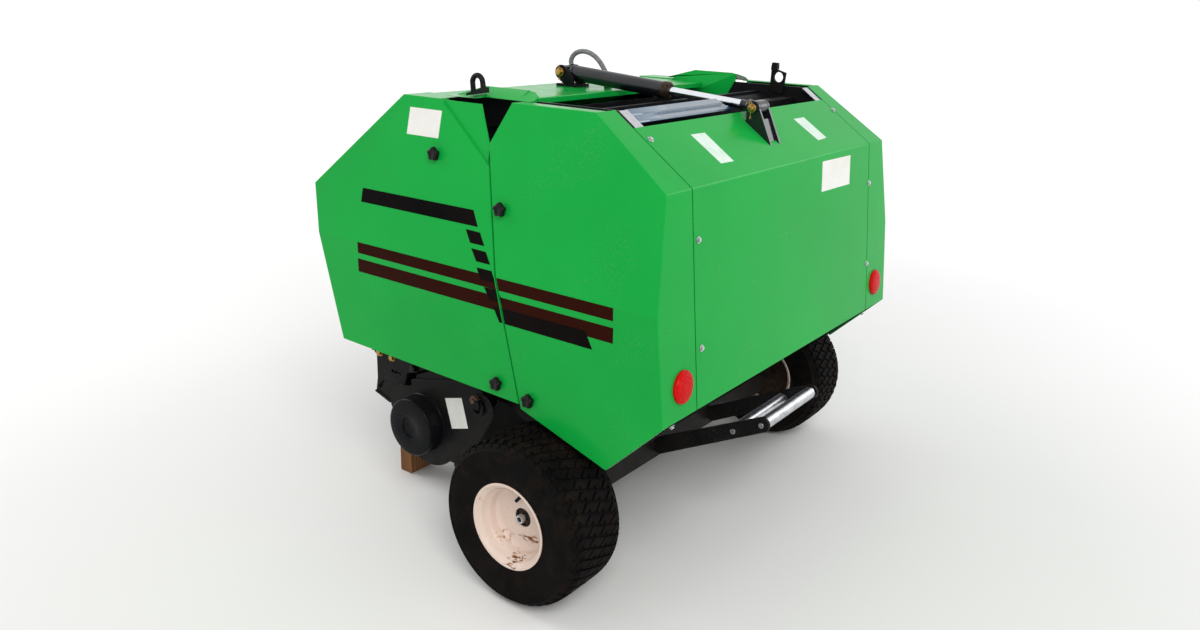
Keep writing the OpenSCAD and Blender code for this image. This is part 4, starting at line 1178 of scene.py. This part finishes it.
PANEL_LABEL = [(-181, 1105), (-379, 1102), (-374, 1015), (-176, 1018)]
TAPES = [[(333, 1216), (268, 1215), (265, 1152), (326, 1153)], [(-230, 1211), (-297, 1211), (-304, 1157), (-242, 1155)]]
# Bright zinc strips at the top corners of the slope: partly a bare flange, partly a painted highlight of the glare
# along that edge.
SLOPE_STRIP_PAINTED_GLARE = [(481, 1281), (516, 1281), (516, 1229), (481, 1229)]
COVER_LABEL = [(-513, 1170), (-391, 1170), (-388, 1242), (-510, 1242)]
LENS_LINE = [(0, 0), (41, 0), (41.5, 3.0), (40.5, 6.0), (36.5, 6.8), (35.0, 9.2), (33.0, 9.8), (26, 10.8), (25.0, 10.0),
             (24.2, 11.0), (15.0, 11.8), (14.0, 11.0), (13.2, 12.0), (0, 12.4)]
PANEL_LINE = [(227, 422), (390, 582), (366, 850), (342, 1123), (116, 1283)]


def onto_panel(x, z, lift):
    """A point on the rear panel's outer face from its x and z in millimetres."""
    for (y0, z0), (y1, z1) in zip(PANEL_LINE, PANEL_LINE[1:]):
        if z <= z1 or (y1, z1) == PANEL_LINE[-1]:
            t = (z - z0) / (z1 - z0)
            normal = Vector((0, z1 - z0, y0 - y1)).normalized()
            return panel_point(x, y0 + t * (y1 - y0), z) + normal * lift, normal
    raise ValueError("no panel there")


def sheet_on_panel(name, corners, lift, thickness):
    """A thin sheet on the rear panel that grows outwards."""
    points = [onto_panel(x, z, lift)[0] for x, z in corners]
    normal = onto_panel(*corners[0], 0)[1]
    if (points[1] - points[0]).cross(points[2] - points[1]).dot(normal) < 0:
        points = points[::-1]
    return flat_plate(name, points, thickness)


BOLTS = [(505, 999), (501, 732), (507, 1219), (-526, 998), (-522, 737), (-585, 548), (-519, 1215), (585, 548)]


class BALER_OT_panel_fittings(PieceOperator):
    """Blank labels, tapes, bolts and reflectors of the tailgate"""
    bl_idname = "baler.panel_fittings"
    bl_label = "Panel fittings"

    def make(self):
        hand_over(sheet_on_panel("panel_label", PANEL_LABEL, 0.0001, 0.0003), "panel_label", "label_paper", REAR)
        for index, corners in enumerate(TAPES):
            hand_over(sheet_on_panel("tape", corners, 0.0001, 0.0002), "tape_%d" % (index + 1), "clear_tape", REAR)
        corners = [(AXLE_Y + y * MM, z * MM) for y, z in COVER_LABEL]
        hand_over(cover_film("cover_label", corners, 1, 0.0001, 0.0003), "cover_label", "label_paper", FRONT)
        # The zinc strips at the slope's top are partly a painted highlight of a glare.
        glare_strips = [sheet_on_panel("strip", [(side * x, z) for x, z in SLOPE_STRIP_PAINTED_GLARE], -0.0025, 0.0015)
                  for side in (1, -1)]
        hand_over(joined("slope_strips", glare_strips), "slope_strips", "bright_zinc", REAR)
        heads = [hex_nut("bolt", *onto_panel(x, z, 0.0), 0.010, 0.0042, 0.0088) for x, z in BOLTS]
        hand_over(joined("bolts", heads), "panel_bolts", "bright_zinc", REAR)
        for side in (1, -1):
            lens = spun("lens", LENS_LINE, *onto_panel(side * 590, 661, 0.0003), 64)
            hand_over(lens, "reflector_" + SIDE_NAME[side], "lens_red", REAR, 30,
                      ["rear_reflectors"] if side > 0 else ())


# Cylinder and hose

BASE_PIN = panel_point(0, -461, 1314)
EYE_PIN = panel_point(0, 219, 1261)
ALONG = (EYE_PIN - BASE_PIN).normalized()
OUT = ALONG.cross(Vector((1, 0, 0))).normalized()
BARREL_END, WELD_AT, PORT_AT, BARREL_R = 0.378, 0.027, 0.348, 0.0225
GLAND_LINE = [(13.2, -10), (25.2, -10), (25.6, -8), (25.6, 6), (24.6, 8), (21.5, 9), (20.5, 13), (15, 14), (13.2, 13.5)]
WELD_LINE = [(22.5, 0), (26.2, 1), (26.8, 4), (25.8, 7), (22.5, 8)]
PORT_LINE = [(0, -6), (13, -6), (12.8, 10), (11, 11.5), (7.2, 11.8), (7, 7), (0, 7)]
SOCKET_LINE = [(12.7, 17), (17.5, 17), (17.8, 30), (16.6, 32), (13.9, 33), (13.6, 46), (14.6, 47), (14.8, 51),
               (14.0, 52), (12.7, 52)]
LUG_WEB = [(236, 1231), (261, 1171), (294, 1101), (302, 1105), (270, 1174), (245, 1233)]


def washer_and_pin(name, centre, side, washer_r, pin_r):
    """A washer with the end of the pin that it sits on."""
    out = Vector((side, 0, 0))
    ring = round_bar(name, centre, centre + out * 0.0032, washer_r, 0.0006, 32)
    tip = round_bar(name, centre, centre + out * 0.013, pin_r, 0.0012, 28)
    return joined(name, [ring, tip])


class BALER_OT_cylinder(PieceOperator):
    """Hydraulic cylinder with its gland, port, pins, washers and split pins"""
    bl_idname = "baler.cylinder"
    bl_label = "Cylinder"

    def make(self):
        bent_copy("cylinder_barrel", "_eased", "gloss_black")
        rod = bent_copy("cylinder_rod", "_eased", "chrome")
        rod.data.materials.append(finish("gloss_black"))
        for face in rod.data.polygons:
            if (Vector(face.center) - EYE_PIN).length < 0.030:
                face.material_index = 1
        gland = spun("gland", GLAND_LINE, BASE_PIN + ALONG * BARREL_END, ALONG, 56)
        hand_over(gland, "cylinder_gland", "greasy_steel", "cylinder")
        weld = spun("weld", WELD_LINE, BASE_PIN + ALONG * WELD_AT, ALONG, 56)
        port = spun("port", PORT_LINE, BASE_PIN + ALONG * PORT_AT + OUT * BARREL_R, OUT, 28)
        hand_over(joined("barrel_fittings", [weld, port]), "barrel_fittings", "gloss_black", "cylinder")
        base = [washer_and_pin("base", BASE_PIN + Vector((0.0346, 0, 0)), 1, 0.0140, 0.0100),
                split_pin("base", BASE_PIN + Vector((0.043, 0.001, -0.005)), (0, 0.15, -0.98), (1, 0, 0), 0.032)]
        hand_over(joined("base_washer", base), "cylinder_base_washer", "brass", FRONT)
        socket = spun("rod_end", SOCKET_LINE, EYE_PIN, -ALONG, 40)
        hand_over(socket, "rod_end", "gloss_black", BODY_OF["cylinder_rod"])
        web = side_sheet("web", -22.2, LUG_WEB, 0.0444)
        soften(web, 0.0008, 1)
        hand_over(web, "lug_web", "gloss_black", REAR)
        eye = [washer_and_pin("eye", EYE_PIN + Vector((s * 0.0364, 0, 0)), s, 0.0132, 0.0078) for s in (1, -1)]
        eye.append(split_pin("eye", EYE_PIN + Vector((0.045, 0.001, -0.007)), (0, 0.08, -0.99), (1, 0, 0), 0.034))
        hand_over(joined("eye_washers", eye), "cylinder_eye_washers", "brass", REAR)


HOSE_LINE = [(-476.2, 1317), (-486, 1321), (-495, 1332), (-496, 1347), (-486, 1363), (-468, 1373), (-442, 1377),
             (-414, 1371), (-388, 1356), (-366, 1333), (-350, 1307), (-345, 1292), (-344.8, 1280.5)]
HOSE_X = -60
FERRULE_LINE = [(0, -1), (10.2, -1), (10.6, 1), (10.6, 16), (10, 18), (8.8, 20), (0, 20)]


class BALER_OT_hose(PieceOperator):
    """Braided hose from the swivel on the cylinder's pin to the top plate"""
    bl_idname = "baler.hose"
    bl_label = "Hose"

    def make(self):
        points = [panel_point(HOSE_X, y, z) for y, z in HOSE_LINE]
        curve = bpy.data.curves.new("hydraulic_hose_braided", "CURVE")
        curve.dimensions, curve.bevel_depth, curve.bevel_resolution = "3D", 0.0078, 5
        curve.resolution_u, curve.use_fill_caps = 8, True
        spline = curve.splines.new("NURBS")
        spline.points.add(len(points) - 1)
        for knot, point in zip(spline.points, points):
            knot.co = (*point, 1)
        spline.use_endpoint_u, spline.order_u = True, 4
        only(placed("hydraulic_hose_braided", curve))
        bpy.ops.object.convert(target="MESH")
        hose = bpy.context.object
        path = smooth_line(points, 96)
        length = sum((b - a).length for a, b in zip(path, path[1:]))
        hand_over(hose, "hydraulic_hose_braided", "hose_braid", FRONT, 60, ["hydraulic_hose"])
        ends = []
        for spot, away in ((points[0], points[1]), (points[-1], points[-2])):
            way = (away - spot).normalized()
            ends.append(spun("ferrule", FERRULE_LINE, spot, way, 28))
            ends.append(hex_nut("nut", spot - way * 0.001, way, 0.022, 0.010))
        hand_over(joined("hose_ends", ends), "hose_ends", "bright_zinc", FRONT)


def smooth_line(points, count):
    """Points along the cubic B-spline through the ends that the hose's curve follows."""
    order, n = 4, len(points)
    knots = [0] * order + list(range(1, n - order + 1)) + [n - order + 1] * order

    def weight(i, k, t):
        if k == 1:
            last = t >= knots[-1] and knots[i] < knots[i + 1] == knots[-1]
            return 1.0 if knots[i] <= t < knots[i + 1] or last else 0.0
        left = right = 0.0
        if knots[i + k - 1] > knots[i]:
            left = (t - knots[i]) / (knots[i + k - 1] - knots[i]) * weight(i, k - 1, t)
        if knots[i + k] > knots[i + 1]:
            right = (knots[i + k] - t) / (knots[i + k] - knots[i + 1]) * weight(i + 1, k - 1, t)
        return left + right
    line = []
    for step in range(count + 1):
        t = knots[-1] * step / count
        line.append(sum((points[i] * weight(i, order, t) for i in range(n)), Vector()))
    return line


class BALER_OT_ramp_and_timber(PieceOperator):
    """Bright ramp rollers and the timber posts"""
    bl_idname = "baler.ramp_and_timber"
    bl_label = "Ramp rollers and timber"

    def make(self):
        for node in ("ramp_roller_inner", "ramp_roller_outer"):
            bent_copy(node, "_tube", "bright_zinc")
        bent_copy("timber_posts", "_sawn", "rough_timber", 0.003, 0.003)


# Each lamp's name, place, size, power and colour
LAMPS = [("key", (3.4, 3.6, 4.2), 2.6, 172, (1.0, 0.98, 0.95)), ("fill", (-3.6, 3.2, 3.0), 3.0, 65, (0.95, 0.98, 1.0)),
         ("front", (1.0, -4.0, 3.2), 3.0, 90, (1.0, 1.0, 1.0))]
CAMERA_AT, CAMERA_TURNS = (2.3957, 1.8424, 1.5388), (2.2105, 0.2886, -0.0288)


class BALER_OT_stage(PieceOperator):
    """Pale floor, soft lamps and the camera"""
    bl_idname = "baler.stage"
    bl_label = "Stage"

    def make(self):
        deselect()
        bpy.ops.mesh.primitive_plane_add(size=60, location=(0, 0, 0))
        floor = bpy.context.object
        floor.name = "floor"
        material = bpy.data.materials.new("pale_floor")
        material.use_nodes = True
        r = Recipe(material.node_tree)
        shader = node_of(material.node_tree, "BSDF_PRINCIPLED")
        away = r.add("VectorMath", {0: r.place()}, operation="LENGTH").outputs["Value"]
        far = r.sum("MULTIPLY", r.limits(away, 1.6, 4.2), r.sum("MAXIMUM", *[
            r.add("LightPath").outputs[ray] for ray in ("Is Camera Ray", "Is Glossy Ray")]))
        fill(shader, {"Base Color": r.blend(far, (0.80, 0.80, 0.79), (0, 0, 0)), "Emission Color": (1, 1, 1, 1),
                      "Emission Strength": far, "Roughness": r.limits(r.noise(3), 0, 1, 0.7, 0.85)})
        floor.data.materials.append(material)
        world = bpy.data.worlds.new("studio")
        bpy.context.scene.world = world
        world.use_nodes = True
        tree = world.node_tree
        back = node_of(tree, "BACKGROUND")
        w = Recipe(tree)
        ray = w.add("LightPath").outputs
        seen = w.sum("MAXIMUM", ray["Is Camera Ray"],
                     w.sum("MAXIMUM", ray["Is Glossy Ray"], ray["Is Transmission Ray"]))
        fill(back, {"Color": (1, 1, 1, 1), "Strength": w.limits(seen, 0, 1, 0.62, 1.0)})
        for name, spot, size, power, tint in LAMPS:
            data = bpy.data.lights.new(name, "AREA")
            data.size, data.energy, data.color = size, power, tint
            lamp = placed(name, data)
            lamp.location = spot
            lamp.rotation_euler = (Vector((0, 0, 0.6)) - Vector(spot)).to_track_quat("-Z", "Y").to_euler()
        self.camera()
        bpy.context.scene.view_settings.view_transform = "Standard"

    def camera(self):
        yaw, pitch, roll = CAMERA_TURNS
        ahead = Vector((-math.sin(yaw) * math.cos(pitch), math.cos(yaw) * math.cos(pitch), -math.sin(pitch)))
        right = Vector((math.cos(yaw), math.sin(yaw), 0))
        down = ahead.cross(right)
        right, down = (math.cos(roll) * right + math.sin(roll) * down, math.cos(roll) * down - math.sin(roll) * right)
        data = bpy.data.cameras.new("camera")
        data.sensor_width, data.lens = 36.0, 28.69
        data.shift_x, data.shift_y = -0.00137, -0.0274
        camera = placed("camera", data)
        turn = Matrix((right, -down, -ahead)).transposed()
        camera.matrix_world = Matrix.Translation(CAMERA_AT) @ turn.to_4x4()
        bpy.context.scene.camera = camera


PIECE_OPERATORS = [BALER_OT_sheets, BALER_OT_plates, BALER_OT_stripes, BALER_OT_knobs, BALER_OT_wheels,
                   BALER_OT_pickup, BALER_OT_panel_fittings, BALER_OT_cylinder, BALER_OT_hose,
                   BALER_OT_ramp_and_timber, BALER_OT_stage]


class BALER_PT_panel(bpy.types.Panel):
    bl_label = "Small round baler"
    bl_space_type = "VIEW_3D"
    bl_region_type = "UI"
    bl_category = "Baler"

    def draw(self, context):
        for operator in PIECE_OPERATORS:
            self.layout.operator(operator.bl_idname)
        for group in (context.scene.baler_sizes, context.scene.baler_colours):
            for key in group.__annotations__:
                self.layout.prop(group, key)


CLASSES = [BalerSizes, BalerColours, *PIECE_OPERATORS, BALER_PT_panel]


def register():
    for cls in CLASSES:
        bpy.utils.register_class(cls)
    bpy.types.Scene.baler_sizes = bpy.props.PointerProperty(type=BalerSizes)
    bpy.types.Scene.baler_colours = bpy.props.PointerProperty(type=BalerColours)


def unregister():
    del bpy.types.Scene.baler_sizes
    del bpy.types.Scene.baler_colours
    for cls in reversed(CLASSES):
        bpy.utils.unregister_class(cls)


def main():
    register()
    for operator in PIECE_OPERATORS:
        getattr(bpy.ops.baler, operator.bl_idname.split(".")[1])()


if __name__ == "__main__":
    main()
